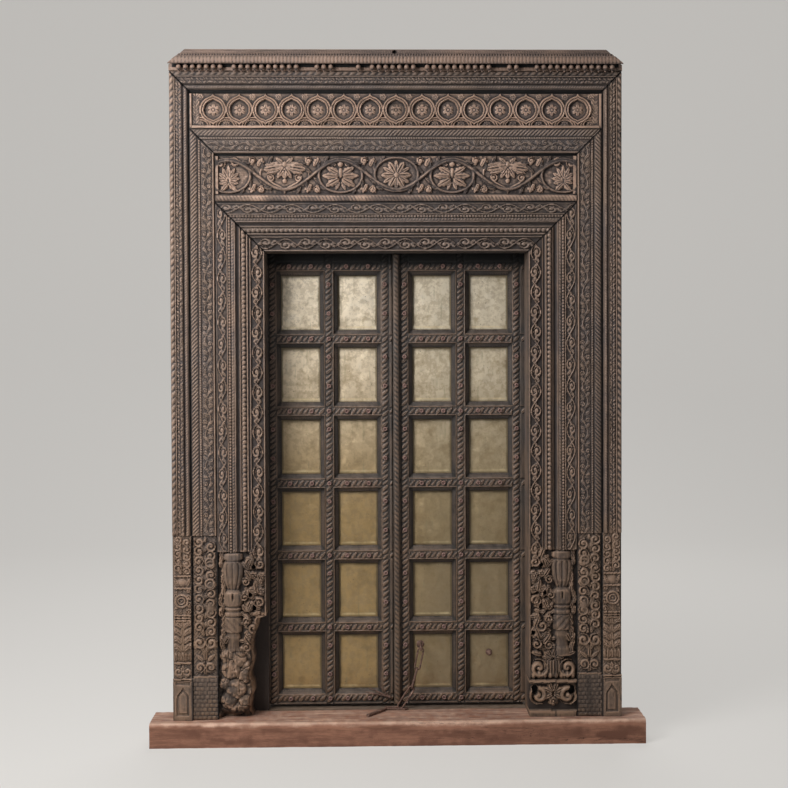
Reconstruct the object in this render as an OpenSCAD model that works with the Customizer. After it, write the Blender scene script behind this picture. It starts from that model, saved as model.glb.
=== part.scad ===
// Carved double door in its frame: three nested carved surrounds, two friezes,
// a pendant crown, two panelled leaves on wooden pivots and a latch chain.
// Construction frame: x across, depth d backwards from the jamb fronts, z up
// from the top of the threshold. It is shifted once, at the end.

/* [Opening] */
// Clear width between the inner jambs
opening_w = 916; // [820:1:1000]
// Clear height from threshold to inner lintel
opening_h = 1624; // [1450:1:1800]

/* [Surrounds] */
// Depth of the carved members from front to back
frame_d = 141; // [130:1:160]
// Width of the outer surround
outer_w = 68; // [60:1:80]
// Width of the middle surround
middle_w = 87; // [78:1:100]
// Width of the inner surround
inner_w = 167; // [155:1:185]
// Height of the scroll frieze
scroll_h = 167; // [150:1:190]
// Height of the lattice frieze
lattice_h = 128; // [118:1:145]
// Height of the crown moulding
crown_h = 71; // [64:1:85]

/* [Threshold] */
// Height of the threshold
sill_h = 86; // [60:1:110]
// Depth of the front plank
plank_d = 141; // [125:1:160]
// How far the plank stands in front of the jambs
plank_over = 30; // [29:1:45]
// How far the plank runs past the frame at each end
plank_side = 78; // [40:1:110]
// Depth of the rear sill with the pivot sockets
rear_sill_d = 120; // [112:1:140]

/* [Leaves] */
// Thickness of the carved battens on the leaf front
batten_t = 28; // [25:1:34]
// Thickness of the boards behind them
board_t = 30; // [24:1:36]
// Gap between threshold and leaf
leaf_gap = 13; // [13:0.5:18]
// Height of the bottom rail
bottom_rail_h = 49; // [44:1:60]
// Height of the rails between the panels
rail_h = 62; // [56:1:70]
// Width of the mullion in the middle of each leaf
mullion_w = 63; // [56:1:72]
// Top rail seen below the lintel
top_rail_seen = 76; // [68:1:90]
// Overlap of the leaf behind the lintel
leaf_overlap = 21; // [15:1:26]
// Left pivot stile seen in the opening
left_stile_seen = 46; // [44:1:56]
// Right pivot stile seen in the opening
right_stile_seen = 57; // [46:1:62]
// Width of the left meeting stile
left_meet_w = 53; // [48:1:60]
// Width of the right meeting stile
right_meet_w = 70; // [64:1:78]
// Width of the raised carved strip on a batten
strip_w = 30; // [26:1:34]
// Thickness of the brass sheets
brass_t = 3; // [2:0.5:4]

/* [Pivots] */
// Radius of the wooden pivot pins
pin_r = 18; // [14:0.5:22]
// Length of each pin
pin_len = 58; // [45:1:62]
// Running clearance round a pin
pin_clear = 0.1; // [0.06:0.02:0.1]

/* [Latch chain] */
// Thickness of the link rods
rod_d = 6; // [5:0.25:6.5]
// Width of a link over its rods
link_w = 25; // [24:0.5:28]
// Height of the staple above the threshold
staple_z = 212; // [200:1:230]

/* [Ornament] */
// Radius of the ring studs
stud_r = 8; // [6:0.5:9]
// Spacing of the crown pendants
pendant_pitch = 23.6; // [23:0.1:26]
// Radius of a pendant ball
pendant_r = 8.6; // [7:0.1:9]
// Length of a pendant
pendant_len = 38; // [34:1:42]
// Spacing of the teeth along a rope moulding
rope_pitch = 32; // [26:1:40]
// Spacing of the beads along a string of beads
bead_pitch = 30; // [24:1:40]
// Height that the carving stands above its ground
relief = 4; // [3:0.5:5]
// Spacing of the medallions in the lattice frieze
medallion_pitch = 90; // [84:1:100]
// Spacing of the flowers in the scroll frieze
flower_pitch = 193; // [182:1:204]

/* [Hidden] */
half_open = opening_w / 2;
inner_x = half_open + inner_w;
middle_x = inner_x + middle_w;
outer_x = middle_x + outer_w;
inner_top = opening_h + inner_w;
scroll_top = inner_top + scroll_h;
middle_top = scroll_top + middle_w;
lattice_top = middle_top + lattice_h;
outer_top = lattice_top + outer_w;
total_d = plank_d + rear_sill_d;
d_shift = plank_over - total_d / 2;

leaf_front = frame_d + 3;
board_front = leaf_front + batten_t;
leaf_t = batten_t + board_t;
leaf_back = leaf_front + leaf_t;
leaf_top = opening_h + leaf_overlap;
leaf_h = leaf_top - leaf_gap;
round_r = leaf_t / 2;
pivot_x = half_open + round_r - 5;
pivot_d = leaf_front + round_r;
meet_gap_left = 16;
meet_gap_right = 12;
rows = 6;
panel_z0 = leaf_gap + bottom_rail_h;
panel_h = (opening_h - top_rail_seen - panel_z0 - (rows - 1) * rail_h) / rows;
panel_step = panel_h + rail_h;
edge_t = 12;
slope_t = 22;
strip_relief = 2.5;
bevel_w = 14;
stile_c = bevel_w + strip_w / 2;
head_rail_h = 112;
head_rail_z = leaf_top + 3;
fit = 0.3;
rod_r = rod_d / 2;
thin_rod_r = rod_r - 0.4;
bow_r = (link_w - rod_d) / 2;
chain_d = frame_d - 29;
driven = 0.05;

// Places where the bands of a jamb end and its carved foot begins
outer_foot_h = 641;
middle_foot_h = 640;
inner_foot_h = 582;
inner_side_foot_h = 522;

// Crown: height of the ledge's underside, and the row of drops under it
ledge_z = 31;
drops_margin = 36.5;
LOST_PENDANTS = [7, 18, 19, 23, 24, 25, 27, 35, 46, 47, 50, 51];

LEFT_X0 = -half_open + left_stile_seen;
LEFT_X1 = -meet_gap_left - left_meet_w;
RIGHT_X0 = right_meet_w - meet_gap_right;
RIGHT_X1 = half_open - right_stile_seen;
BOARD_X = pivot_x - round_r + 4;

// Places along the chain, in a plane in front of the right leaf, as [x, z]
function below(p, tilt, len) = [p[0] - len * sin(tilt), p[1] - len * cos(tilt)];
staple_x = 83;
hang = 2 * rod_r + fit;
tilt_1 = 12;
len_1 = 78;
tilt_2 = 15;
len_2 = 76;
tilt_3 = 33;
len_4 = 78;
bar_turn = 50;
bar_len = 105;
eye_r = 5.8;
eye_z = eye_r + 0.4;
pivot_1 = [staple_x, staple_z];
top_1 = below(pivot_1, tilt_1, -hang);
pivot_2 = below(top_1, tilt_1, len_1 - hang);
pivot_3 = below(pivot_2, tilt_2, len_2);
foot_z = fit + bow_r + rod_r;
len_3 = (pivot_3[1] - foot_z) / cos(tilt_3) + bow_r + hang;
top_3 = below(pivot_3, tilt_3, -hang);
foot_x = below(top_3, tilt_3, len_3 - bow_r)[0];
pivot_4 = [foot_x + bow_r + rod_r + 11, fit + thin_rod_r];
eye_along = len_4 - bow_r + bow_r * cos(bar_turn);
tilt_4 = asin((eye_z - pivot_4[1]) / eye_along);
pivot_5 = [pivot_4[0] - eye_along * cos(tilt_4), eye_z];
pivot_5_d = chain_d - bow_r * sin(bar_turn);

// Staple, pull and bent staple: places and sizes of their driven shanks
nose_r = 7;
rose_r = 14;
staple_leg_end = board_front + 20;
knob_x = 331;
knob_z = 188;
shank_len = 14;
shank_r = 3;
root_x = -30;
root_z = 38;
root_r = 5;

FRAME = ["threshold_plank", "rear_sill", "rear_head_rail", "outer_jamb_left",
    "outer_jamb_right", "outer_lintel", "lattice_frieze", "middle_jamb_left",
    "middle_jamb_right", "middle_lintel", "scroll_frieze", "inner_jamb_left",
    "inner_jamb_right", "inner_lintel", "crown_moulding", "crown_pendants"];
LEFT_LEAF = concat(
    ["left_studs", "left_backboard", "left_pivot_stile", "left_meeting_stile",
     "left_batten_grid"],
    [for (n = [1:12]) str("left_brass_panel_", n)]);
RIGHT_LEAF = concat(
    ["right_studs", "right_backboard", "right_pivot_stile", "right_meeting_stile",
     "right_batten_grid"],
    [for (n = [1:12]) str("right_brass_panel_", n)]);
HARDWARE = ["astragal", "chain_staple", "chain_link_1", "chain_link_2",
    "chain_link_3", "chain_link_4", "latch_bar", "pull_knob", "bent_staple"];

wood = "#4a3d33";
worn = "#6b5344";
plank_wood = "#8a5a48";
brass = "#a08a4c";
iron = "#5a4638";

// Ornament outlines. Each runs along u from 0 and lies across w.

// A rope: slanted teeth on one spine, from w = a to w = b
function rope(len, a, b, pitch, slant) =
    let(n = floor((len - slant - 2) / pitch), s = 2)
    concat(
        [for (i = [0:n - 1]) each [
            [1 + i * pitch, a + s],
            [1 + i * pitch + slant, b],
            [1 + i * pitch + slant + pitch * 0.55, b],
            [1 + i * pitch + pitch * 0.55, a + s]]],
        [[len, a + s], [len, a], [0, a], [0, a + s]]);

// A string of beads about the line w = c
function beads(len, c, r, pitch) =
    let(n = floor(len / pitch), g = (len - n * pitch) / 2, s = r * 0.3)
    concat(
        [[0, c + s]],
        [for (i = [0:n - 1]) each [
            [g + (i + 0.08) * pitch, c + s],
            [g + (i + 0.35) * pitch, c + r],
            [g + (i + 0.73) * pitch, c + r]]],
        [[len, c + s], [len, c - s]],
        [for (i = [n - 1:-1:0]) each [
            [g + (i + 0.73) * pitch, c - r],
            [g + (i + 0.35) * pitch, c - r],
            [g + (i + 0.08) * pitch, c - s]]],
        [[0, c - s]]);

// A winding vine about w = c whose stem swells into a leaf at each crossing
function vine(len, c, amp, wave, t, steps = 8) =
    let(n = round(len / wave) * steps, step = len / n, turn = 360 / steps)
    concat(
        [for (i = [0:n]) [i * step,
            c + amp * sin(i * turn) + t * (1 + 0.7 * cos(2 * i * turn))]],
        [for (i = [n:-1:0]) [i * step,
            c + amp * sin(i * turn) - t * (1 + 0.7 * cos(2 * i * turn))]]);

// Half width of a pointed medallion at the share t of its half height
function ogee_w(t) = (1 + cos(180 * pow(abs(t), 1.4))) / 2;

// A pointed medallion, widest in the middle and drawn in to a tip at each end
function ogee(a, b) =
    let(n = 5)
    concat(
        [for (i = [-n:n - 1]) [a * ogee_w(i / n), b * i / n]],
        [for (i = [n:-1:1 - n]) [-a * ogee_w(i / n), b * i / n]]);

// A flower with round petals
function petals(r, count, dip, turn = 0) =
    [for (i = [0:count * 4 - 1])
        let(t = i * 90 / count, q = r * (1 - dip * (1 - abs(cos(t * count / 2)))))
        [q * cos(t + turn), q * sin(t + turn)]];

// A pointed leaf from the point at, with its tip at length l and turned by an angle
function blade(l, w, turn, at = [0, 0]) =
    [for (i = [0:9])
        let(t = i < 6 ? i / 5 : (10 - i) / 5, side = i < 6 ? 1 : -1,
            x = l * t, y = side * w / 2 * sin(180 * pow(t, 0.75)))
        [at[0] + x * cos(turn) - y * sin(turn), at[1] + x * sin(turn) + y * cos(turn)]];

// An oval about the point at
function oval(a, b, at = [0, 0], n = 16) =
    [for (i = [0:n - 1]) [at[0] + a * cos(360 * i / n), at[1] + b * sin(360 * i / n)]];

// A half-round bead in a section, from w = a to w = b on level d
function round_bead(a, b, d, h) =
    [for (i = [0:8]) [a + (b - a) * i / 8, d + h * sin(180 * i / 8)]];

// A hollow in a section, from w = a to w = b on level d
function hollow(a, b, d, h) =
    [for (i = [0:6]) [a + (b - a) * i / 6, d - h * sin(180 * i / 6)]];

// Sections of the three surrounds: w inwards from the outer edge, depth from the back.
// The bands keep their share of the width when a surround is made wider.
function outer_section() =
    let(k = outer_w / 68, f = frame_d)
    concat(
        [[0, 0], [0, f - 6], [2 * k, f - relief], [16 * k, f - relief],
         [16.5 * k, f - 1], [19 * k, f - 1], [19.5 * k, f - relief - 1],
         [43 * k, f - relief - 1], [43.5 * k, f - 1], [45 * k, f - 7]],
        round_bead(46 * k, 62 * k, f - 8, 7),
        [[63 * k, f - 16], [outer_w, f - 16], [outer_w, 0]]);

function middle_section() =
    let(k = middle_w / 87, f = frame_d - 5)
    concat(
        [[0, 0], [0, f - 8], [2 * k, f - relief], [26 * k, f - relief],
         [27 * k, f - 8], [28.5 * k, f - 8], [29 * k, f - 3], [37 * k, f - 3],
         [37.5 * k, f - relief - 1], [78 * k, f - relief - 1], [78.5 * k, f - 1]],
        round_bead(79 * k, 84 * k, f - 3, 3),
        [[84.5 * k, f - 12], [middle_w, f - 12], [middle_w, 0]]);

function inner_section() =
    let(k = inner_w / 167, f = frame_d - 6)
    concat(
        [[0, 0], [0, f - 5], [6 * k, f - relief], [38 * k, f - relief],
         [38.5 * k, f - 2], [49 * k, f - 2], [49.5 * k, f - relief - 3],
         [63 * k, f - relief - 3], [63.5 * k, f - 3], [66 * k, f - 3]],
        hollow(66.5 * k, 84 * k, f - 5, 9),
        [[84.5 * k, f - 12], [105 * k, f - 12], [105.5 * k, f - 6], [109 * k, f - 6]],
        hollow(109.5 * k, 119 * k, f - 9, 4),
        [[119.5 * k, f - 12], [121 * k, f - 14], [162 * k, f - 14],
         [162.5 * k, f - 11], [inner_w - 1, f - 11], [inner_w, f - 13], [inner_w, 0]]);

// A prism of a section along u
module moulding(len, section) {
    rotate([90, 0, 90])
        linear_extrude(len)
            polygon(section);
}

// A raised ornament on the ground level d
module raised(d, h, outline) {
    translate([0, 0, d - 1])
        linear_extrude(h + 1)
            polygon(outline);
}

// The wedge that a mitre removes at the end u = 0
module mitre(w) {
    translate([0, 0, -1])
        linear_extrude(frame_d + 20)
            polygon([[-5, -5], [w + 5, w + 5], [-5, w + 5]]);
}

// A surround member from its outer corner: mitred at u = 0, and at u = len if both
module mitred(len, w, both) {
    difference() {
        children();
        mitre(w);
        if (both)
            translate([len, 0, 0])
                mirror([1, 0, 0])
                    mitre(w);
    }
}

module outer_bar(len, both) {
    k = outer_w / 68;
    ground = frame_d - relief;
    mitred(len, outer_w, both)
        union() {
            moulding(len, outer_section());
            raised(ground, relief - 0.5, rope(len, 3 * k, 15 * k, rope_pitch, 9));
            raised(ground - 1, relief, vine(len, 31 * k, 6 * k, 76, 3));
        }
}

module middle_bar(len, both) {
    k = middle_w / 87;
    f = frame_d - 5;
    ground = f - relief;
    mitred(len, middle_w, both)
        union() {
            moulding(len, middle_section());
            raised(ground, relief - 0.5, rope(len, 4 * k, 25 * k, rope_pitch, 15));
            raised(f - 3, 2.5, beads(len, 33 * k, 3, bead_pitch));
            raised(ground - 1, relief, vine(len, 58 * k, 12 * k, 100, 4.5));
        }
}

module inner_bar(len, both) {
    k = inner_w / 167;
    f = frame_d - 6;
    ground = f - relief;
    mitred(len, inner_w, both)
        union() {
            moulding(len, inner_section());
            raised(ground, relief, vine(len, 22 * k, 9 * k, 90, 4));
            raised(f - 2, 2, beads(len, 44 * k, 3.4, bead_pitch));
            raised(ground - 3, relief, rope(len, 51 * k, 61 * k, rope_pitch, 5));
            raised(f - 12, 5, rope(len, 87 * k, 103 * k, rope_pitch, 9));
            raised(f - 14, relief, vine(len, 141 * k, 12 * k, 110, 4.5));
        }
}

// A jamb stands with its outer edge at x = -reach and its mitre at the top
module as_left_jamb(reach, top) {
    translate([-reach, frame_d, top])
        rotate([90, 90, 0])
            children();
}

module as_lintel(reach, top) {
    translate([reach, frame_d, top])
        rotate([90, 180, 0])
            children();
}

// Frame pieces

module threshold_plank() {
    reach = outer_x + plank_side;
    wear = 14;
    color(plank_wood)
        translate([reach, 0, -sill_h])
            rotate([90, 0, -90])
                linear_extrude(2 * reach)
                    polygon([[plank_over, 0], [plank_over, sill_h - wear],
                        [plank_over - 4, sill_h - 3], [plank_over - wear, sill_h],
                        [plank_over - plank_d, sill_h], [plank_over - plank_d, 0]]);
}

module rear_sill() {
    color(wood)
        difference() {
            translate([-outer_x, plank_d - plank_over, -sill_h])
                cube([2 * outer_x, rear_sill_d, sill_h]);
            for (side = [-1, 1])
                translate([side * pivot_x, pivot_d, leaf_gap - pin_len - fit])
                    cylinder(r = pin_r + pin_clear, h = pin_len, $fn = 96);
        }
}

module rear_head_rail() {
    color(wood)
        difference() {
            translate([-outer_x, frame_d, head_rail_z])
                cube([2 * outer_x, total_d - plank_over - frame_d, head_rail_h]);
            for (side = [-1, 1])
                translate([side * pivot_x, pivot_d, head_rail_z - 1])
                    cylinder(r = pin_r + pin_clear, h = pin_len + 1, $fn = 96);
        }
}

// Carving of the feet. Heights v are measured up from the threshold and widths w from
// the member's outer edge, both for the width given at the top of the file; k is the
// share by which a wider member enlarges them. Each piece stands h above the level d.

module foot_leaf(k, top, d, h, v, w, l, b, turn) {
    translate([top - v * k, w * k, d - 1])
        linear_extrude(h + 1)
            polygon(blade(l * k, b * k, turn));
}

module foot_bar(k, top, d, h, v0, v1, w0, w1) {
    translate([top - v1 * k, w0 * k, d - 1])
        cube([(v1 - v0) * k, (w1 - w0) * k, h + 1]);
}

// A rolled tendril, drawn as a ring round a button
module foot_curl(k, top, d, h, v, w, r) {
    translate([top - v * k, w * k, d - 1]) {
        difference() {
            cylinder(r = r * k, h = h + 1, $fn = 32);
            translate([0, 0, 1.5])
                cylinder(r = r * k * 0.7, h = h, $fn = 32);
        }
        cylinder(r = r * k * 0.36, h = h, $fn = 24);
    }
}

// The plain ground of a foot, cut out of the bands
module foot_ground(k, top, d, v, w0, w1) {
    translate([top - v * k, w0 * k, d])
        cube([v * k + 1, (w1 - w0) * k, frame_d]);
}

// Foot of the outer jamb: block with an arched panel, leaves, medallion and tendrils
module outer_foot() {
    k = outer_w / 68;
    top = outer_top;
    d = frame_d - 9;
    difference() {
        foot_bar(k, top, d, 7, 0.5, 133, 2, 66);
        translate([top, 0, d + 2.5])
            linear_extrude(9)
                polygon([[-16 * k, 13 * k], [-70 * k, 13 * k], [-86 * k, 17 * k],
                    [-100 * k, 25 * k], [-116 * k, 34 * k], [-100 * k, 43 * k],
                    [-86 * k, 51 * k], [-70 * k, 55 * k], [-16 * k, 55 * k]]);
    }
    translate([top, 0, d + 2])
        linear_extrude(3.5)
            polygon([[-26 * k, 23 * k], [-70 * k, 23 * k], [-88 * k, 28 * k],
                [-100 * k, 34 * k], [-88 * k, 40 * k], [-70 * k, 45 * k], [-26 * k, 45 * k]]);
    foot_bar(k, top, d, 7.5, 133.5, 144, 0.5, 67.5);
    foot_bar(k, top, d, 7, 197, 203, 3, 65);
    for (w = [20, 48])
        foot_curl(k, top, d, 7, 170, w, 13);
    for (w = [10:12:58])
        foot_leaf(k, top, d, 6, 232, w, 26, 11, 0);
    for (i = [0:3], side = [-1, 1])
        foot_leaf(k, top, d, 6.5 - 0.5 * side, 344 - 27 * i, 34 + 3 * side, 36, 15, 38 * side);
    for (v = [346, 354, 362])
        foot_bar(k, top, d, 7.5, v, v + 4.5, 6, 62);
    foot_curl(k, top, d, 7.5, 415, 29, 24);
    for (i = [0:3])
        foot_curl(k, top, d, 6.5, 378 + 24 * i, 57, 8);
    for (v = [456, 498])
        foot_bar(k, top, d, 8, v, v + 5, 14, 47);
    raised(d, 7, oval(17 * k, 15 * k, [top - 479 * k, 30 * k]));
    for (i = [0:4]) {
        foot_curl(k, top, d, 7, 528 + 25 * i, 19, 12);
        foot_curl(k, top, d, 6.5, 520 + 25 * i, 49, 12);
    }
}

// Foot of the middle jamb: woven block, heart of leaves, volutes and tendrils
module middle_foot() {
    k = middle_w / 87;
    top = middle_top;
    d = frame_d - 15;
    difference() {
        foot_bar(k, top, d, 9, 0.5, 144, 2, 84);
        for (i = [1:6])
            translate([top - 20.6 * k * i - 1.5 * k, 0, d + 5])
                cube([3 * k, middle_w, 9]);
        for (i = [1:4])
            translate([top - 150 * k, (2 + 16.4 * i - 1.5) * k, d + 5.5])
                cube([151 * k, 3 * k, 9]);
    }
    foot_bar(k, top, d, 9, 147, 152, 1, 84);
    for (side = [-1, 1]) {
        foot_curl(k, top, d, 8.5, 182, 43.5 - 17 * side, 15);
        foot_curl(k, top, d, 9.5, 268, 43.5 - 19.5 * side, 18);
        foot_leaf(k, top, d, 8 + 0.4 * side, 238, 43.5, 40, 14, 25 * side);
        foot_leaf(k, top, d, 7.5 + 0.4 * side, 196, 43.5, 34, 14, 150 * side);
    }
    for (i = [0:9]) {
        foot_curl(k, top, d, 8.5, 322 + 33 * i, 23, 15);
        foot_curl(k, top, d, 8, 306 + 33 * i, 63, 15);
        foot_leaf(k, top, d, 7, 300 + 33 * i, 43, 27, 12, 190);
    }
}

module outer_jamb() {
    k = outer_w / 68;
    as_left_jamb(outer_x, outer_top)
        union() {
            difference() {
                outer_bar(outer_top, false);
                foot_ground(k, outer_top, frame_d - 9, outer_foot_h, -1, 69);
            }
            outer_foot();
        }
}

module middle_jamb() {
    k = middle_w / 87;
    as_left_jamb(middle_x, middle_top)
        union() {
            difference() {
                middle_bar(middle_top, false);
                foot_ground(k, middle_top, frame_d - 15, middle_foot_h, -1, 84.5);
            }
            middle_foot();
        }
}

// Turned pots under a leaf capital, as [height, radius] read upwards
COLUMN = [[200, 8], [214, 30], [226, 34], [236, 22], [246, 17], [262, 19], [284, 24],
    [296, 18], [318, 20], [344, 25], [350, 27], [354, 23], [360, 27], [368, 28], [374, 23],
    [384, 27], [394, 27], [404, 32], [416, 34], [430, 31], [440, 23], [446, 17], [456, 18],
    [480, 28], [510, 34], [534, 35], [544, 30], [550, 24], [562, 34], [574, 31], [581, 20]];

// Leaves and tendrils beside the column, as [height, width, length, breadth, turn]
SPRAYS = [[556, 134, 44, 24, 200], [520, 112, 46, 25, 160], [505, 140, 42, 22, 20],
    [488, 116, 40, 24, 215], [452, 104, 44, 26, 25], [436, 136, 46, 25, 190],
    [410, 112, 42, 24, 340], [372, 102, 42, 24, 150], [352, 132, 46, 26, 20],
    [312, 146, 38, 20, 335], [288, 96, 46, 25, 35], [270, 128, 44, 24, 160],
    [262, 22, 40, 22, 150]];
CURLS = [[540, 144, 16], [478, 96, 14], [424, 94, 13], [400, 143, 17], [340, 97, 14],
    [316, 120, 20], [252, 140, 16], [246, 98, 14]];

module inner_column(k) {
    translate([inner_top, 52 * k, frame_d - 41])
        rotate([0, -90, 0])
            rotate_extrude($fn = 64)
                polygon(concat([[0, COLUMN[0][0] * k]],
                    [for (p = COLUMN) [p[1] * k, p[0] * k]],
                    [[0, COLUMN[len(COLUMN) - 1][0] * k]]));
}

// Lotus block with volutes over a base panel, whole on the right jamb only
module lotus_block(k, d) {
    top = inner_top;
    for (i = [-3:3])
        foot_leaf(k, top, d, 15 + 0.3 * i, 202, 83, 40, 17, 180 + 26 * i);
    for (w = [34, 133])
        foot_curl(k, top, d, 18, 166, w, 28);
    translate([top - 176 * k, 83 * k, d - 1])
        rotate_extrude($fn = 48)
            polygon([[0, 0], [33 * k, 0], [33 * k, 6], [29 * k, 14], [20 * k, 20],
                [9 * k, 22.5], [0, 23]]);
    for (w = [14:20:154])
        foot_leaf(k, top, d, 14, 148, w, 28, 17, 0);
    foot_bar(k, top, d, 22, 118, 126, 0.5, 160);
    foot_bar(k, top, d, 14, 112, 118.5, 0.5, 160);
    for (w = [33, 136])
        foot_curl(k, top, d, 18, 70, w, 28);
    for (turn = [20, -20, 62, -62, 116, -116])
        foot_leaf(k, top, d, 13 + turn / 100, 84, 84, 38, 18, turn);
    translate([top - 50 * k, 84 * k, 0])
        raised(d, 17, petals(17 * k, 6, 0.4));
}

// What is left of that block on the left jamb: soft worn lumps
module worn_block(k, d) {
    for (p = [[206, 70, 26, 13], [172, 44, 34, 17], [150, 88, 28, 15], [104, 60, 36, 14],
            [62, 36, 30, 12], [56, 92, 26, 10], [120, 24, 22, 11]])
        translate([inner_top - p[0] * k, p[1] * k, d - 1])
            rotate_extrude($fn = 40)
                polygon([[0, 0], [p[2] * k, 0], [p[2] * k * 0.82, p[3] * 0.6],
                    [p[2] * k * 0.5, p[3] * 0.9], [p[2] * k * 0.2, p[3]], [0, p[3] + 0.4]]);
}

module inner_jamb(whole) {
    k = inner_w / 167;
    d = frame_d - 29;
    as_left_jamb(inner_x, inner_top)
        union() {
            difference() {
                inner_bar(inner_top, false);
                foot_ground(k, inner_top, d, inner_foot_h, -1, 110);
                foot_ground(k, inner_top, d, inner_side_foot_h, 109, 160);
            }
            inner_column(k);
            for (p = SPRAYS)
                foot_leaf(k, inner_top, d, 12 + p[1] / 100, p[0], p[1], p[2], p[3], p[4]);
            for (p = CURLS)
                foot_curl(k, inner_top, d, 15, p[0], p[1], p[2]);
            foot_bar(k, inner_top, d, whole ? 22 : 8, 0.5, 22, 0.5, 160);
            if (whole)
                lotus_block(k, d);
            else
                worn_block(k, d);
        }
}

// Wood lost from the foot of the left inner jamb, back to a plain plank
module lost_wood() {
    color(wood)
        translate([-half_open, frame_d - 24, 0])
            rotate([90, 0, 0])
                linear_extrude(frame_d)
                    polygon([[5, -5], [-52, -5], [-60, 40], [-46, 90], [-58, 150],
                        [-44, 210], [-52, 260], [-34, 310], [-22, 352], [5, 360]]);
}

module outer_jamb_left() {
    color(wood) outer_jamb();
}

module outer_jamb_right() {
    color(wood) mirror([1, 0, 0]) outer_jamb();
}

module middle_jamb_left() {
    color(wood) middle_jamb();
}

module middle_jamb_right() {
    color(wood) mirror([1, 0, 0]) middle_jamb();
}

module inner_jamb_left() {
    color(wood)
        difference() {
            inner_jamb(false);
            lost_wood();
        }
}

module inner_jamb_right() {
    color(wood) mirror([1, 0, 0]) inner_jamb(true);
}

module outer_lintel() {
    color(wood) as_lintel(outer_x, outer_top) outer_bar(2 * outer_x, true);
}

module middle_lintel() {
    color(wood) as_lintel(middle_x, middle_top) middle_bar(2 * middle_x, true);
}

module inner_lintel() {
    color(wood) as_lintel(inner_x, inner_top) inner_bar(2 * inner_x, true);
}

// Lattice frieze: a row of pointed medallions, each with a flower
module lattice_frieze() {
    ground = frame_d - 15;
    rim = 11;
    field_h = lattice_h - rim - 6;
    mid = rim + field_h / 2;
    a = medallion_pitch / 2 + 2;
    count = floor((middle_x - a - 2) / medallion_pitch);
    end_w = 9;
    color(worn)
        translate([0, frame_d, middle_top])
            rotate([90, 0, 0])
                union() {
                    translate([-middle_x, 0, 0])
                        cube([2 * middle_x, lattice_h, ground]);
                    translate([-middle_x, 0, ground - 1])
                        cube([2 * middle_x, rim, 10]);
                    translate([-middle_x, lattice_h - 6, ground - 1])
                        cube([2 * middle_x, 6, 6]);
                    for (i = [-count:count])
                        translate([i * medallion_pitch, mid, ground - 1]) {
                            linear_extrude(6)
                                difference() {
                                    polygon(ogee(a, field_h / 2 + 1.5));
                                    polygon(ogee(a - 8, field_h / 2 - 12));
                                }
                            linear_extrude(5)
                                polygon(petals(19, 6, 0.45));
                        }
                    for (i = [-count:count - 1]) {
                        translate([(i + 0.5) * medallion_pitch, mid + field_h / 2 - 13,
                            ground - 1])
                            cylinder(r = 10, h = 4, $fn = 24);
                        translate([(i + 0.5) * medallion_pitch, rim - 4, ground - 1]) {
                            linear_extrude(5)
                                polygon(concat(
                                    [for (j = [0:6]) [37 * cos(j * 30), 31 * sin(j * 30)]],
                                    [for (j = [6:-1:0]) [28 * cos(j * 30), 22 * sin(j * 30)]]));
                            linear_extrude(4)
                                polygon([for (j = [0:12]) [14 * cos(j * 15), 14 * sin(j * 15)]]);
                        }
                    }
                    for (x = [-middle_x, middle_x - end_w])
                        translate([x, 0, ground - 1])
                            cube([end_w, lattice_h, 7]);
                }
}

// Flowers of the scroll frieze about their own centres, for a field of height 131 * q

module star_flower(q) {
    for (i = [0:7])
        linear_extrude(8 + 0.1 * i)
            polygon(blade(50 * q, 24 * q, 45 * i));
    cylinder(r = 11 * q, h = 11, $fn = 32);
}

module six_leaf_flower(q) {
    for (side = [0, 1], p = [[38, 8, 52, 24], [2, 0, 62, 26], [-34, -8, 50, 22]])
        mirror([side, 0, 0])
            linear_extrude(8 + p[1] / 20 + 0.1 * side)
                polygon(blade(p[2] * q, p[3] * q, p[0], [0, p[1] * q]));
    linear_extrude(9)
        polygon(blade(46 * q, 17 * q, 90));
    linear_extrude(10)
        polygon(oval(9 * q, 16 * q, n = 12));
}

module lotus_flower(q) {
    for (side = [0, 1])
        mirror([side, 0, 0]) {
            linear_extrude(9 + 0.1 * side)
                polygon(blade(68 * q, 34 * q, -12, [0, 24 * q]));
            linear_extrude(8 + 0.1 * side)
                polygon(blade(40 * q, 17 * q, -53, [0, 20 * q]));
            translate([55 * q, -4 * q, 0])
                cylinder(r = 9 * q, h = 7, $fn = 24);
        }
    linear_extrude(9.5)
        polygon(blade(36 * q, 20 * q, -90, [0, 16 * q]));
    translate([0, 31 * q, 0])
        cylinder(r = 9 * q, h = 10, $fn = 24);
}

module fan_flower(q) {
    for (i = [-3:3])
        linear_extrude(8 + 0.1 * i)
            polygon(blade(48 * q, 17 * q, 90 + 25 * i, [0, -20 * q]));
    for (side = [-1, 1])
        translate([18 * side * q, 40 * q, 0])
            cylinder(r = 13 * q, h = 8.5 + 0.2 * side, $fn = 24);
}

// One bend of the scroll: a ring with its flower, and two buds on the way to the next
module scroll_bend(i, q, mid, ground, has_next) {
    high = i % 2 == 0 ? -1 : 1;
    x = i * flower_pitch;
    translate([x, mid - 2 * high * q, ground])
        linear_extrude(6)
            difference() {
                polygon(oval(79 * q, 61 * q, n = 24));
                polygon(oval(72 * q, 54 * q, n = 24));
            }
    translate([x, mid, ground])
        if (i == 0)
            star_flower(q);
        else if (abs(i) == 1)
            six_leaf_flower(q);
        else if (abs(i) == 2)
            lotus_flower(q);
        else
            fan_flower(q);
    if (has_next)
        for (side = [-1, 1])
            translate([x + flower_pitch / 2 - 20 * side * q, mid - 48 * side * q, ground])
                cylinder(r = 10 * q, h = 6, $fn = 24);
}

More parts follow.
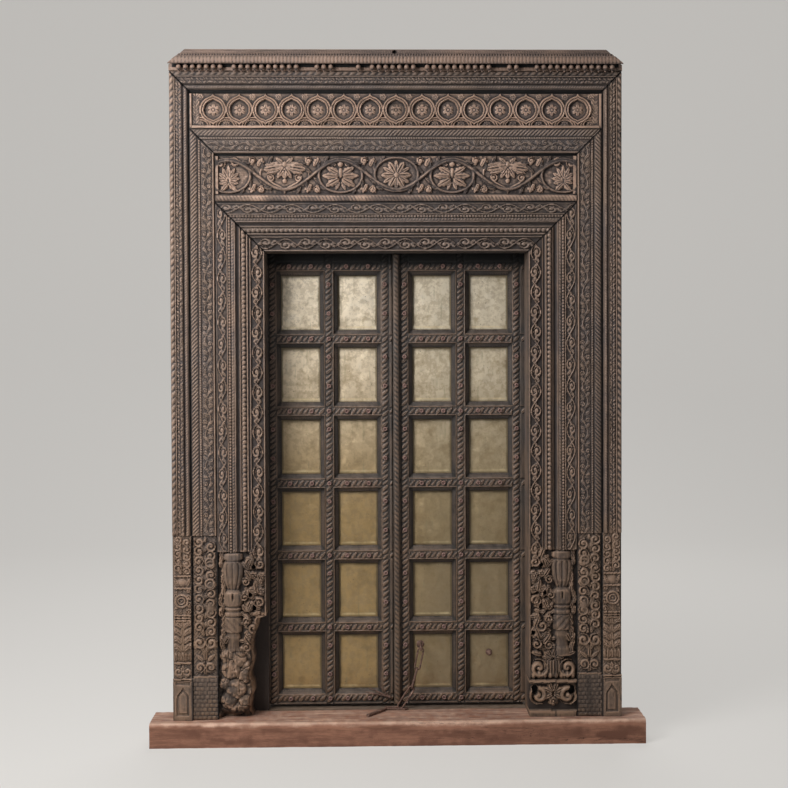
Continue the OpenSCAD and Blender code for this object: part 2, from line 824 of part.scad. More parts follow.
// Scroll frieze: one winding stem with a ringed flower in each bend, over a rope
module scroll_frieze() {
    ground = frame_d - 18;
    rim = 30;
    top_rim = 6;
    end_w = 11;
    field_h = scroll_h - rim - top_rim;
    q = field_h / 131;
    mid = rim + field_h / 2;
    amp = 49 * q;
    stem_t = 4.2;
    reach = inner_x - 6;
    side_bends = floor(reach / flower_pitch);
    steps = 64;
    color(worn)
        translate([0, frame_d, inner_top])
            rotate([90, 0, 0])
                union() {
                    translate([-inner_x, 0, 0])
                        cube([2 * inner_x, scroll_h, ground]);
                    translate([-inner_x, 0, ground - 1])
                        cube([2 * inner_x, rim - 2, 12]);
                    translate([-inner_x, 4, ground + 10])
                        linear_extrude(5)
                            polygon(rope(2 * inner_x, 0, 20, rope_pitch * 0.8, 14));
                    translate([-inner_x, scroll_h - top_rim, ground - 1])
                        cube([2 * inner_x, top_rim, 7]);
                    for (x = [-inner_x, inner_x - end_w])
                        translate([x, 0, ground - 1])
                            cube([end_w, scroll_h - 3, 9]);
                    translate([0, mid, ground - 1])
                        linear_extrude(7)
                            polygon(concat(
                                [for (i = [-steps:steps]) let(x = reach * i / steps)
                                    [x, stem_t - amp * cos(180 * x / flower_pitch)]],
                                [for (i = [steps:-1:-steps]) let(x = reach * i / steps)
                                    [x, -stem_t - amp * cos(180 * x / flower_pitch)]]));
                    // The last flowers run under the end strips
                    intersection() {
                        translate([1 - inner_x + end_w / 2, 0, ground - 1])
                            cube([2 * inner_x - end_w - 2, scroll_h, 2 * end_w]);
                        union()
                            for (i = [-side_bends:side_bends])
                                scroll_bend(i, q, mid, ground - 1, i < side_bends);
                    }
                }
}

// Crown: ledge with a rope on top, its ends cut back on a slope
module crown_moulding() {
    slope_x = 58;
    slope_z = crown_h - 21;
    ledge = plank_over - 2;
    nail_r = 7;
    color(worn)
        difference() {
            translate([outer_x, 0, outer_top])
                rotate([90, 0, -90])
                    linear_extrude(2 * outer_x)
                        polygon([[-frame_d, 0], [0, 0], [0, ledge_z], [ledge, ledge_z],
                            [ledge, crown_h - 27], [ledge - 5, crown_h - 24],
                            [ledge - 5, crown_h - 17], [ledge - 12, crown_h - 15],
                            [ledge - 12, crown_h - 4], [ledge - 16, crown_h],
                            [-40, crown_h], [-frame_d, crown_h - 8]]);
            for (side = [-1, 1])
                translate([side * outer_x, 0, outer_top + crown_h - slope_z])
                    rotate([90, 0, 0])
                        translate([0, 0, -frame_d - 5])
                            linear_extrude(frame_d + ledge + 15)
                                polygon([[side * 5, -5 * slope_z / slope_x],
                                    [-side * slope_x * 1.1, slope_z * 1.1],
                                    [side * 5, slope_z * 1.1]]);
            translate([-5, 12 - ledge, outer_top + crown_h - 10])
                rotate([90, 0, 0])
                    cylinder(r = nail_r, h = 2 * nail_r + 2, center = true, $fn = 32);
        }
}

module pendant() {
    r = pendant_r;
    p = pendant_len / 38;
    rotate_extrude($fn = 24)
        polygon([[0, -38 * p], [2.2, -37.5 * p], [3.6, -34 * p], [2.6, -30.5 * p],
            [1.6, -29 * p], [r * 0.62, -25 * p], [r * 0.95, -20.5 * p], [r, -16.5 * p],
            [r * 0.86, -12 * p], [r * 0.5, -9 * p], [3.4, -7 * p], [3.4, -3 * p],
            [5, -1.5 * p], [5, 0], [0, 0]]);
}

module crown_pendants() {
    count = floor(2 * (outer_x - drops_margin) / pendant_pitch);
    color(worn)
        for (i = [0:count])
            if (len(search(i, LOST_PENDANTS)) == 0)
                translate([(i - count / 2) * pendant_pitch, -(plank_over - 2) / 2,
                    outer_top + ledge_z])
                    pendant();
}

// Leaf pieces, drawn for the left leaf with x measured from the meeting line

// The slanted carving on a strip, its middle line along u
module strip_carving(len) {
    linear_extrude(strip_relief + 1)
        polygon(rope(len, -strip_w / 2 + 5, strip_w / 2 - 5, rope_pitch * 0.8, 12));
}

// Section of a batten of width w, with a raised strip centred at c
function batten_section(w, c) =
    let(a = c - strip_w / 2, b = c + strip_w / 2)
    [[0, 0], [0, edge_t], [a - 2, slope_t], [a, batten_t], [b, batten_t],
     [b + 2, slope_t], [w, edge_t], [w, 0]];

// The outer board of a leaf: its round edge turns with the pins
module pivot_stile(seen) {
    reach = pivot_x - half_open + seen;
    strip_in = reach - bevel_w;
    front = -round_r;
    batten_back = round_r - board_t;
    section = concat(
        [for (i = [0:12])
            [-round_r * sin(180 * i / 12), -round_r * cos(180 * i / 12)]],
        [[round_r - 4, round_r], [round_r - 4, batten_back], [reach, batten_back],
         [reach, batten_back - edge_t], [strip_in + 2, batten_back - slope_t],
         [strip_in, front]]);
    translate([-pivot_x, pivot_d, leaf_gap])
        union() {
            linear_extrude(leaf_h)
                polygon(section);
            for (end = [-pin_len, leaf_h - 1])
                translate([0, 0, end])
                    cylinder(r = pin_r, h = pin_len + 1 - fit, $fn = 96);
            translate([reach - stile_c, 1 + front, 2])
                rotate([90, 0, 0])
                    rotate([0, 0, 90])
                        strip_carving(leaf_h - 4);
        }
}

// The board at the meeting line, bevelled towards the panels
module meeting_stile(gap, w) {
    section = [[0, 0], [0, batten_t], [w - bevel_w, batten_t], [w - bevel_w + 2, slope_t],
        [w, edge_t], [w, 0]];
    translate([-gap, board_front, leaf_gap])
        union() {
            rotate([0, 0, 180])
                linear_extrude(leaf_h)
                    polygon(section);
            translate([stile_c - w, 1 - batten_t, 2])
                rotate([90, 0, 0])
                    rotate([0, 0, 90])
                        strip_carving(leaf_h - 4);
        }
}

// Heights of the rails: bottom edge, height and middle line of the strip
function rail_z(i) = i == 0 ? leaf_gap : panel_z0 + i * panel_step - rail_h;
function rail_size(i) =
    i == 0 ? bottom_rail_h : i == rows ? leaf_top - rail_z(rows) : rail_h;
function rail_mid(i) = i == 0 ? bottom_rail_h - stile_c : rail_h / 2;

module rail(i, len) {
    h = rail_size(i);
    rotate([90, 0, 90])
        linear_extrude(len)
            rotate([0, 0, 90])
                polygon(batten_section(h, rail_mid(i)));
}

// Rails and mullion between the stiles, from x = x0 to x = x1
module batten_grid(x0, x1) {
    mid = (x0 + x1) / 2;
    panel_w = (x1 - x0 - mullion_w) / 2;
    union() {
        translate([mid + mullion_w / 2, board_front, leaf_gap])
            rotate([0, 0, 180])
                linear_extrude(leaf_h)
                    polygon(batten_section(mullion_w, mullion_w / 2));
        translate([mid, leaf_front + 1, leaf_gap + 2])
            rotate([90, 0, 0])
                rotate([0, 0, 90])
                    strip_carving(leaf_h - 4);
        for (i = [0:rows]) {
            translate([x0, board_front, rail_z(i)])
                rail(i, x1 - x0);
            for (side = [x0, mid + mullion_w / 2])
                translate([side + 1, leaf_front + 1, rail_z(i) + rail_mid(i)])
                    rotate([90, 0, 0])
                        strip_carving(panel_w - 2);
        }
    }
}

module backboard(x0, x1) {
    planks = 3;
    groove = 2;
    difference() {
        translate([x0, board_front, leaf_gap])
            cube([x1 - x0, board_t, leaf_h]);
        for (i = [1:planks - 1])
            translate([x0 + (x1 - x0) * i / planks, leaf_back + groove, leaf_gap - 1])
                rotate([0, 0, 45])
                    translate([-2.8, -2.8, 0])
                        cube([5.6, 5.6, leaf_h + 2]);
    }
}

module brass_panel(x0, x1, n) {
    col = (n - 1) % 2;
    row = rows - 1 - floor((n - 1) / 2);
    panel_w = (x1 - x0 - mullion_w) / 2;
    color(brass)
        translate([x0 + col * (panel_w + mullion_w) + fit, board_front - brass_t,
            panel_z0 + row * panel_step + fit])
            cube([panel_w - 2 * fit, brass_t, panel_h - 2 * fit]);
}

// A stud whose flat back lies on the strip: a round ring about a sunk middle
module stud() {
    rotate([90, 0, 0])
        rotate_extrude($fn = 20)
            polygon([[0, 0], [stud_r, 0], [stud_r * 0.72, stud_r * 0.6],
                [stud_r * 0.3, stud_r * 0.3], [0, stud_r * 0.32]]);
}

// Places of a leaf's studs, as [x, z]
function stud_places(x0, x1, stile_xs) =
    let(mid = (x0 + x1) / 2, panel_w = (x1 - x0 - mullion_w) / 2)
    concat(
        [for (x = concat(stile_xs, [mid]), row = [0:rows - 1], part = [0.3, 0.83])
            [x, panel_z0 + row * panel_step + part * panel_h]],
        [for (i = [0:rows]) [mid, rail_z(i) + rail_mid(i)]],
        [for (i = [0:rows], x = [x0, mid + mullion_w / 2], part = [0.22, 0.78])
            [x + part * panel_w, rail_z(i) + rail_mid(i)]]);

module leaf_studs(x0, x1, stile_xs) {
    color(iron)
        for (p = stud_places(x0, x1, stile_xs))
            translate([p[0], leaf_front - strip_relief, p[1]])
                stud();
}

module left_backboard() {
    color(wood) backboard(-BOARD_X, -meet_gap_left);
}

// The staple's legs and the pull's shank are driven into this board
module right_backboard() {
    color(wood)
        difference() {
            backboard(-meet_gap_right, BOARD_X);
            staple_legs(rod_r + driven);
            knob_shank(shank_r + driven);
        }
}

module left_pivot_stile() {
    color(wood) pivot_stile(left_stile_seen);
}

module right_pivot_stile() {
    color(wood) mirror([1, 0, 0]) pivot_stile(right_stile_seen);
}

module left_meeting_stile() {
    color(wood)
        difference() {
            meeting_stile(meet_gap_left, left_meet_w);
            root_shank(shank_r + driven);
        }
}

module right_meeting_stile() {
    color(wood) mirror([1, 0, 0]) meeting_stile(-meet_gap_right, right_meet_w);
}

module left_batten_grid() {
    color(worn) batten_grid(LEFT_X0, LEFT_X1);
}

module right_batten_grid() {
    color(worn) batten_grid(RIGHT_X0, RIGHT_X1);
}

module left_studs() {
    leaf_studs(LEFT_X0, LEFT_X1, [LEFT_X0 - stile_c, LEFT_X1 + stile_c]);
}

module right_studs() {
    leaf_studs(RIGHT_X0, RIGHT_X1, [RIGHT_X0 - stile_c, RIGHT_X1 + stile_c]);
}

// Hardware

// Cover strip on the right leaf, short of the left leaf and of the lintel so that each
// leaf opens alone
module astragal() {
    w = 25;
    proud = 17;
    x0 = -meet_gap_right - 1;
    h = opening_h - leaf_gap - 4;
    color(wood)
        translate([x0, leaf_front, leaf_gap])
            union() {
                linear_extrude(h)
                    polygon([[0, 0], [0, -proud + 7], [4, -proud + 2], [w - 4, -proud + 2],
                        [w, -proud + 6], [w, 0]]);
                translate([w / 2, -proud + 3, 2])
                    rotate([90, 0, 0])
                        rotate([0, 0, 90])
                            linear_extrude(3)
                                polygon(rope(h - 4, -7, 7, rope_pitch * 0.8, 8));
            }
}

// A chain link: two straight rods joined by half-round bows. The upper bow's rod
// is centred on the origin and the link runs down to z = -len.
module link(len, r, bow) {
    straight = len - 2 * bow;
    for (side = [-1, 1])
        translate([side * bow, 0, -bow - straight])
            cylinder(r = r, h = straight, $fn = 24);
    translate([0, 0, -bow])
        rotate([90, 0, 0])
            rotate_extrude(angle = 180, $fn = 32)
                translate([bow, 0])
                    circle(r, $fn = 24);
    translate([0, 0, -bow - straight])
        rotate([90, 180, 0])
            rotate_extrude(angle = 180, $fn = 32)
                translate([bow, 0])
                    circle(r, $fn = 24);
}

module on_chain(p, tilt) {
    color(iron)
        translate([p[0], chain_d, p[1]])
            rotate([0, tilt, 0])
                children();
}

// Staple with two legs one above the other, driven through a round iron rose
module staple_legs(r) {
    for (z = [0, 2 * nose_r])
        translate([staple_x, chain_d - 9, staple_z + z])
            rotate([-90, 0, 0])
                cylinder(r = r, h = staple_leg_end - chain_d + 9, $fn = 24);
}

module chain_staple() {
    color(iron)
        union() {
            staple_legs(rod_r);
            translate([staple_x, chain_d - 9, staple_z + nose_r])
                rotate([0, 90, 0])
                    rotate([0, 0, 180])
                        rotate_extrude(angle = 180, $fn = 32)
                            translate([nose_r, 0])
                                circle(rod_r, $fn = 24);
            translate([staple_x, board_front - brass_t, staple_z + nose_r])
                rotate([90, 0, 0])
                    rotate_extrude($fn = 48)
                        polygon([[0, 0], [rose_r, 0], [rose_r, 2], [rose_r * 0.7, 4.5], [0, 5]]);
        }
}

module chain_link_1() {
    on_chain(top_1, tilt_1) link(len_1, rod_r, bow_r);
}

module chain_link_2() {
    on_chain(pivot_2, tilt_2) rotate([0, 0, 90]) link(len_2, rod_r, bow_r);
}

module chain_link_3() {
    on_chain(top_3, tilt_3) link(len_3, rod_r, bow_r);
}

module chain_link_4() {
    on_chain(pivot_4, 90 + tilt_4) rotate([0, 0, 90]) link(len_4, thin_rod_r, bow_r);
}

// Bar at the end of the chain, forged flat, with an eye round the last link
module latch_bar() {
    eye_w = 5;
    bar_w = 13;
    bar_t = 7.6;
    color(iron)
        translate([pivot_5[0], pivot_5_d, pivot_5[1]])
            rotate([0, 0, 180 + bar_turn])
                difference() {
                    union() {
                        rotate([90, 0, 0])
                            cylinder(r = eye_r, h = eye_w, $fn = 48, center = true);
                        translate([0, 0, -eye_r])
                            linear_extrude(bar_t)
                                polygon(concat(
                                    [[2, -eye_w / 2], [10, -eye_w / 2], [15, -bar_w / 2]],
                                    [for (i = [0:8])
                                        [bar_len - bar_w / 2 + bar_w / 2 * sin(180 * i / 8),
                                         -bar_w / 2 * cos(180 * i / 8)]],
                                    [[15, bar_w / 2], [10, eye_w / 2], [2, eye_w / 2]]));
                    }
                    rotate([90, 0, 0])
                        cylinder(r = thin_rod_r + 0.6, h = eye_w + 2, $fn = 48, center = true);
                }
}

// Small domed pull on the right leaf, its shank driven through the brass
module knob_shank(r) {
    translate([knob_x, board_front - brass_t - 1, knob_z])
        rotate([-90, 0, 0])
            cylinder(r = r, h = shank_len + 1, $fn = 24);
}

module pull_knob() {
    color(iron)
        union() {
            knob_shank(shank_r);
            translate([knob_x, board_front - brass_t, knob_z])
                rotate([90, 0, 0])
                    rotate_extrude($fn = 40)
                        polygon([[0, 0], [12, 0], [12, 1.5], [6, 3], [5, 8], [9, 12],
                            [9.5, 16], [6, 19], [0, 20]]);
        }
}

// Bent staple on the left leaf: a driven root with three prongs beaten aside
module root_shank(r) {
    translate([root_x, leaf_front - strip_relief - 1, root_z])
        rotate([-90, 0, 0])
            cylinder(r = r, h = 16, $fn = 24);
}

module prong(dx, dz, d, r) {
    translate([root_x, d, root_z])
        rotate([0, atan2(dx, dz), 0])
            cylinder(r1 = r, r2 = r * 0.5, h = norm([dx, dz]), $fn = 20);
}

module bent_staple() {
    face = leaf_front - strip_relief;
    color(iron)
        union() {
            root_shank(shank_r);
            translate([root_x, face, root_z])
                rotate([90, 0, 0])
                    cylinder(r = root_r, h = 8, $fn = 32);
            prong(-74, 33, face - 4, 2.8);
            prong(-84, 18, face - 4.4, 3);
            prong(-30, 36, face - 3.6, 2.4);
        }
}

// A brass panel with the holes of the ironwork that is driven through it
module right_brass_panel(n) {
    difference() {
        brass_panel(RIGHT_X0, RIGHT_X1, n);
        staple_legs(rod_r + driven);
        knob_shank(shank_r + driven);
    }
}

// From the construction frame to the part's own: origin under the middle of the box
module placed() {
    translate([0, d_shift, sill_h])
        children();
}

placed() threshold_plank();
placed() rear_sill();
placed() rear_head_rail();
placed() outer_jamb_left();
placed() outer_jamb_right();
placed() outer_lintel();
placed() lattice_frieze();
placed() middle_jamb_left();
placed() middle_jamb_right();
placed() middle_lintel();
placed() scroll_frieze();
placed() inner_jamb_left();
placed() inner_jamb_right();
placed() inner_lintel();
placed() crown_moulding();
placed() crown_pendants();
placed() left_backboard();
placed() left_pivot_stile();
placed() left_meeting_stile();
placed() left_batten_grid();
placed() left_studs();
placed() right_backboard();
placed() right_pivot_stile();
placed() right_meeting_stile();
placed() right_batten_grid();
placed() right_studs();
placed() astragal();
placed() chain_staple();
placed() chain_link_1();
placed() chain_link_2();
placed() chain_link_3();
placed() chain_link_4();
placed() latch_bar();
placed() pull_knob();
placed() bent_staple();
for (n = [1:2 * rows]) {
    placed() brass_panel(LEFT_X0, LEFT_X1, n);
    placed() right_brass_panel(n);
}
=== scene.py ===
"""Looks of the carved double door: relief carving, brass sheets, forged iron and old timber.

Shape functions work in millimetres. On a member, u runs along it, w runs across it from
its outer edge, v is the height above the threshold, and h is the height of the carved
face above the member's back plane.
"""

import math

import bpy
import numpy as np
from mathutils import Matrix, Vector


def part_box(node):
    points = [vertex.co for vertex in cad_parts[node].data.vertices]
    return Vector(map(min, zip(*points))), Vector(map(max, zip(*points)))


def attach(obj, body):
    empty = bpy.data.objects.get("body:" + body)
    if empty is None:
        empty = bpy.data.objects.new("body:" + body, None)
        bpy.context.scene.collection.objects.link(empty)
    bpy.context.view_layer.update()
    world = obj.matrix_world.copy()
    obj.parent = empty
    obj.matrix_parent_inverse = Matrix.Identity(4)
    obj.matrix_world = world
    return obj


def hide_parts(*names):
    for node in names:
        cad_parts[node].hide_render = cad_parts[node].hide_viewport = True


MM = 0.001
IMAGE_SIDE = 788

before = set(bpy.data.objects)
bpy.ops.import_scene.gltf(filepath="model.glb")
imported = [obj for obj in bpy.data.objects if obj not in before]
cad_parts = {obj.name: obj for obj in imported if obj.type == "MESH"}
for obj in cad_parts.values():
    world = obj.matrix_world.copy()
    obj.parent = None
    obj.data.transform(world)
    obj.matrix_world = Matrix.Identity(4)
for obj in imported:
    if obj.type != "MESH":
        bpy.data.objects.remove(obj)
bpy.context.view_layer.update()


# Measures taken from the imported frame


def box_mm(node):
    """Lowest and highest corner of a solid of the part, in millimetres."""
    low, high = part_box(node)
    return np.array(low) / MM, np.array(high) / MM


JAMB_FRONT = box_mm("outer_jamb_left")[0][1]
BOARD_FRONT = box_mm("left_backboard")[0][1]
LEAF_BOTTOM, LEAF_TOP = (corner[2] for corner in box_mm("left_backboard"))
PANEL_ROWS = 6

# Heights of the leaves' carved face above the boards: beside the brass, at the top of
# the bevel and on the battens, and how far the vine of a strip dips and rises there
EDGE_RISE = 12
SLOPE_RISE = 22
BATTEN_RISE = 28
VINE_RISE = 2.4

# Widths of the bevel and of the carved strips, and the radius of the pivot pins
BEVEL = 14
STRIP_WIDTH = 30
HALF_STRIP = STRIP_WIDTH / 2 - 0.5
PIN_RADIUS = 18

# Least height that a carved face of the frame keeps above its back
THINNEST = 8

# First seeds of the random swells, so that each kind of piece has its own
JAMB_SEED = 60
FRIEZE_SEED = 80
LEAF_SEED = 101
BRASS_SEED = 200


# Fields and ornament, each a function of two coordinates given as arrays


def s_curve(x, start, end):
    """0 up to start, 1 from end on, and 3t^2 - 2t^3 between."""
    t = np.clip((x - start) / (end - start), 0, 1)
    return t * t * (3 - 2 * t)


def dome(squared):
    """Height of a unit half ball at a squared distance: the root of 1 - squared."""
    return np.sqrt(np.clip(1 - squared, 0, 1))


DRIFT_CELLS = 96


def drift(x, y, size, seed):
    """Smooth random field from -1 to 1: random values on a square lattice of the given
    size, blended along both axes with an S-curve. It repeats after DRIFT_CELLS cells."""
    table = np.random.default_rng(seed).uniform(-1, 1, (DRIFT_CELLS, DRIFT_CELLS))
    gx, gy = x / size, y / size
    ix, iy = np.floor(gx).astype(int), np.floor(gy).astype(int)
    fx, fy = s_curve(gx - ix, 0, 1), s_curve(gy - iy, 0, 1)
    x0, x1 = ix % DRIFT_CELLS, (ix + 1) % DRIFT_CELLS
    y0, y1 = iy % DRIFT_CELLS, (iy + 1) % DRIFT_CELLS
    near = table[x0, y0] * (1 - fx) + table[x1, y0] * fx
    far = table[x0, y1] * (1 - fx) + table[x1, y1] * fx
    return near * (1 - fy) + far * fy


def rope(u, w, start, end, pitch, slant):
    """Twisted rope between two lines: round across, cut by slanted grooves whose depth
    follows the sine of the distance along."""
    t = (w - start) / (end - start)
    strand = np.abs(np.sin(np.pi * (u + slant * t) / pitch)) ** 0.8
    return dome((2 * t - 1) ** 2) * (0.2 + 0.8 * strand)


def beads(u, w, centre, radius, pitch):
    """Row of balls: the height of a half ball about the nearest multiple of the pitch."""
    along = (u / pitch - np.round(u / pitch)) * pitch
    return dome((along ** 2 + (w - centre) ** 2) / radius ** 2)


def leaf(x, y, length, width, lobes=4):
    """Pointed leaf from the origin along x: its half width follows a sine of the share of
    the length, with shallow lobes, and its face is round across, with a groove on the
    midrib and a finer one on each side."""
    t = np.clip(x / length, 0, 1)
    half = width / 2 * np.sin(np.pi * t ** 0.75) ** 0.8
    half = half * (1 - 0.1 * np.cos(2 * np.pi * lobes * t)) + 0.01
    across = np.abs(y) / half
    midrib = 1 - 0.5 * np.exp(-((y / (0.06 * width + 0.4)) ** 2))
    veins = 1 - 0.22 * np.exp(-(((across - 0.55) / 0.13) ** 2))
    return dome(across ** 2) * midrib * veins * ((x > 0) & (x < length))


def flower(x, y, radius, petals, turn=0.0):
    """Flower about the origin: petals from the cosine of the angle, each hollowed along
    its middle, round a ball."""
    r = np.hypot(x, y) / radius
    lobe = np.abs(np.cos((np.arctan2(y, x) + turn) * petals / 2))
    body = dome((r / (0.5 + 0.5 * lobe ** 0.6)) ** 2)
    body = body * (1 - 0.35 * lobe ** 10) * (0.5 + 0.5 * s_curve(r, 0.22, 0.5))
    return np.maximum(body, dome((r / 0.26) ** 2))


def curl(x, y, radius, turn=0.0, hand=1, turns=1.35):
    """Rolled tendril: a round ridge on a spiral whose radius falls evenly with the
    angle, closed by a small ball at the middle."""
    r = np.hypot(x, y)
    step = radius / turns
    phase = (r / step + (hand * np.arctan2(y, x) - turn) / (2 * np.pi)) % 1.0
    ridge = dome(((phase - 0.5) / 0.4) ** 2) * (r < radius)
    return np.maximum(ridge, dome((r / (0.32 * radius)) ** 2))


def stem(distance, half):
    """Round stem whose middle line is at distance 0: the height of a half ball at the
    distance as a share of the stem's half width."""
    return dome((distance / half) ** 2)


def feathered(u, w, centre, half, pitch, seed):
    """Close foliage: leaves slant off both sides of a line, their phase nudged by a
    random field so that no two are alike."""
    off = w - centre
    nudged = u + 3.2 * drift(u, w, 14, seed) - 1.15 * np.abs(off)
    blades = np.abs(np.sin(np.pi * nudged / pitch)) ** 0.7
    lumps = 0.75 + 0.25 * drift(u, w, 7, seed + 1)
    side = s_curve(half - np.abs(off), 0, 3)
    vein = 1 - 0.75 * np.exp(-((off / 1.6) ** 2))
    return side * blades * lumps * vein


def scrolled(u, w, centre, half, wave):
    """Winding stem with a rolled tendril in each bend and leaves in the corners. Each
    half wave is one cell with x along and y across, its bend always towards +y."""
    cell = wave / 2
    k = np.floor(u / cell)
    x = u - (k + 0.5) * cell
    y = (w - centre) * np.where(k % 2 == 0, 1, -1)
    bend = np.cos(np.pi * x / cell)
    out = stem(y - 0.8 * half * bend, 2.4)
    stretch = min(1.7, cell / (2.2 * half))
    out = np.maximum(out, curl(x / stretch, y + 0.22 * half, 0.66 * half, 2.2))
    for sign, lean, reach in ((1, 0.55, 0.5), (-1, -0.6, 0.42), (1, -0.25, 0.38)):
        lx = (x - sign * 0.17 * cell) * sign
        ly = y + 0.1 * half - lean * 6
        tilt = lean * 0.9
        fx = lx * math.cos(tilt) - ly * math.sin(tilt)
        fy = lx * math.sin(tilt) + ly * math.cos(tilt)
        out = np.maximum(out, 0.95 * leaf(fx, fy, reach * cell, 0.5 * half, 3))
    return out * s_curve(half - np.abs(w - centre), -0.5, 1.5)


def ogee_distance(x, y, a, b):
    """How far a point lies outside a pointed medallion of half width a and half height b.
    At the share t of its height its half width is a (1 + cos(pi t^1.4)) / 2."""
    t = np.clip(np.abs(y) / b, 0, 1)
    half = a / 2 * (1 + np.cos(np.pi * t ** 1.4))
    fall = 0.7 * np.pi * a / b * t ** 0.4 * np.sin(np.pi * t ** 1.4)
    return (np.abs(x) - half + np.maximum(np.abs(y) - b, 0)) / np.sqrt(1 + fall ** 2)


def medallion_distance(x, y, a, b):
    """How far a point lies outside an oval that is drawn out to a narrow tip above and
    below. Where oval and tip meet, the smaller of the two distances is blended."""
    rise = np.abs(y) / b
    oval = (np.hypot(x / a, rise / 0.78) - 1) * 0.85 * a
    t = np.clip(2 * rise - 1, 0, 1)
    tip = 0.8 * (np.abs(x) - a / 2 * (1 - t) ** 1.7 + np.maximum(np.abs(y) - b, 0))
    tip = np.where(rise < 0.5, a, tip)
    blend = 5
    share = np.clip(0.5 + 0.5 * (tip - oval) / blend, 0, 1)
    return tip * (1 - share) + oval * share - blend * share * (1 - share)


def sprigs(u, w, centre, half, pitch, seed):
    """Row of leaning leaf pairs, each with a small bloom and a rolled tendril, on a
    feathered ground. Every second cell is turned over."""
    k = np.round(u / pitch)
    x = u - k * pitch + 1.5 * drift(u, w, 21, seed)
    y = (w - centre) * np.where(k % 2 == 0, 1, -1)
    out = 0.55 * feathered(u, w, centre, half, 9, seed)
    for sx, sy, tilt, reach in ((-0.42, -0.75, 0.75, 0.52), (-0.1, 0.75, -0.7, 0.46),
                                (0.12, -0.8, 1.05, 0.36)):
        dx, dy = x - sx * pitch, y - sy * half
        c, s = math.cos(tilt), math.sin(tilt)
        blade = leaf(dx * c + dy * s, dy * c - dx * s, reach * pitch, 0.62 * half, 3)
        out = np.maximum(out, blade)
    out = np.maximum(out, 0.9 * flower(x - 0.36 * pitch, y + 0.3 * half, 0.42 * half, 5))
    out = np.maximum(out, 0.85 * curl(x + 0.3 * pitch, y - 0.45 * half, 0.42 * half, 1.0))
    return out * s_curve(half - np.abs(w - centre), -1, 1.5)


def leaf_of(length, width, lobes=4):
    """Leaf of a given size, as a function of x and y."""
    return lambda x, y: leaf(x, y, length, width, lobes)


def curl_of(radius, turn=0.0, hand=1, turns=1.35):
    """Rolled tendril of a given size, as a function of x and y."""
    return lambda x, y: curl(x, y, radius, turn, hand, turns)


def flower_of(radius, petals):
    """Flower of a given size, as a function of x and y."""
    return lambda x, y: flower(x, y, radius, petals)


def ring_of(radius, half):
    """Round ring, as a function of x and y."""
    return lambda x, y: stem(np.hypot(x, y) - radius, half)


def ball_of(along, across):
    """Flattened ball with two half widths, as a function of x and y."""
    return lambda x, y: dome(x ** 2 / along ** 2 + y ** 2 / across ** 2)


class Relief:
    """A carved face: u and w of each grid point and its height h in millimetres, and a
    tone, below 0 for darker and above 0 for more rubbed, that is added to its wear."""

    def __init__(self, u, w, h):
        self.u, self.w, self.h = u, w, h
        self.tone = np.zeros_like(h)

    def stamp(self, motif, at, reach, base, lift, turn=0.0, squash=1.0):
        """Raises the face to base + lift * motif(x, y) about the point at, wherever that
        is higher. The motif's x axis is turned from +u towards +w by turn degrees."""
        du, dw = self.u - at[0], self.w - at[1]
        near = (np.abs(du) < reach) & (np.abs(dw) < reach)
        if not near.any():
            return
        c, s = math.cos(math.radians(turn)), math.sin(math.radians(turn))
        x, y = du[near] * c + dw[near] * s, (dw[near] * c - du[near] * s) / squash
        value = motif(x, y)
        raised = np.where(value > 0.02, base + lift * value, -1e9)
        self.h[near] = np.maximum(self.h[near], raised)

    def level(self, mask, height):
        """Sets the face to one height wherever the mask is true."""
        self.h = np.where(mask, height, self.h)

    def shade(self, mask, tone):
        """Sets the tone wherever the mask is true."""
        self.tone = np.where(mask, tone, self.tone)


# Sections of the three surrounds, as pairs of w and h

OUTER_SECTION = [
    (0, 135), (2, 136), (16, 136), (16.5, 140), (19, 140), (19.5, 135), (43, 135),
    (43.5, 139), (45, 134), (46, 133), (48, 135.7), (50, 138), (52, 139.6), (54, 140),
    (56, 139.6), (58, 138), (60, 135.7), (62, 133), (63, 125), (68, 125)]
MIDDLE_SECTION = [
    (0, 128), (2, 131), (26, 131), (27, 128), (28.5, 128), (29, 131), (37, 131),
    (37.5, 130), (78, 130), (78.5, 134), (81.5, 136), (84, 133), (84.5, 124), (87, 124)]
INNER_SECTION = [
    (0, 130), (6, 131), (38, 131), (38.5, 133.5), (41, 133.5), (41.5, 130), (53, 130),
    (53.5, 132), (63, 132), (63.5, 131), (66, 132), (66.5, 129), (70, 124), (75, 121),
    (80, 124), (84, 129), (84.5, 123), (105, 123), (105.5, 129), (109, 129),
    (109.5, 126), (114, 122), (119, 126), (119.5, 123), (121, 121), (162, 121),
    (162.5, 124), (166, 124), (167, 122)]

# Heights above the threshold at which the bands of the jambs end and their feet begin.
# In the functions of the feet, v is the height above the threshold too, and top is that
# of the jamb, so that top - v is a place along it.
OUTER_FOOT = 641
MIDDLE_FOOT = 640
INNER_FOOT = 582


def on_section(section, w):
    """Height of a section at w, straight between its points."""
    return np.interp(w, [p[0] for p in section], [p[1] for p in section])


def rows_of(section, step):
    """Places across a member: every point of its section, and steps between them."""
    places = [section[0][0]]
    for (a, _), (b, _) in zip(section, section[1:]):
        parts = max(1, math.ceil((b - a) / step))
        places += [a + (b - a) * (k + 1) / parts for k in range(parts)]
    return np.array(places)


# Each band fills the places across a member between its two edges, with its own ground
# plus its own ornament times its rise. Elsewhere the section stays as it is.


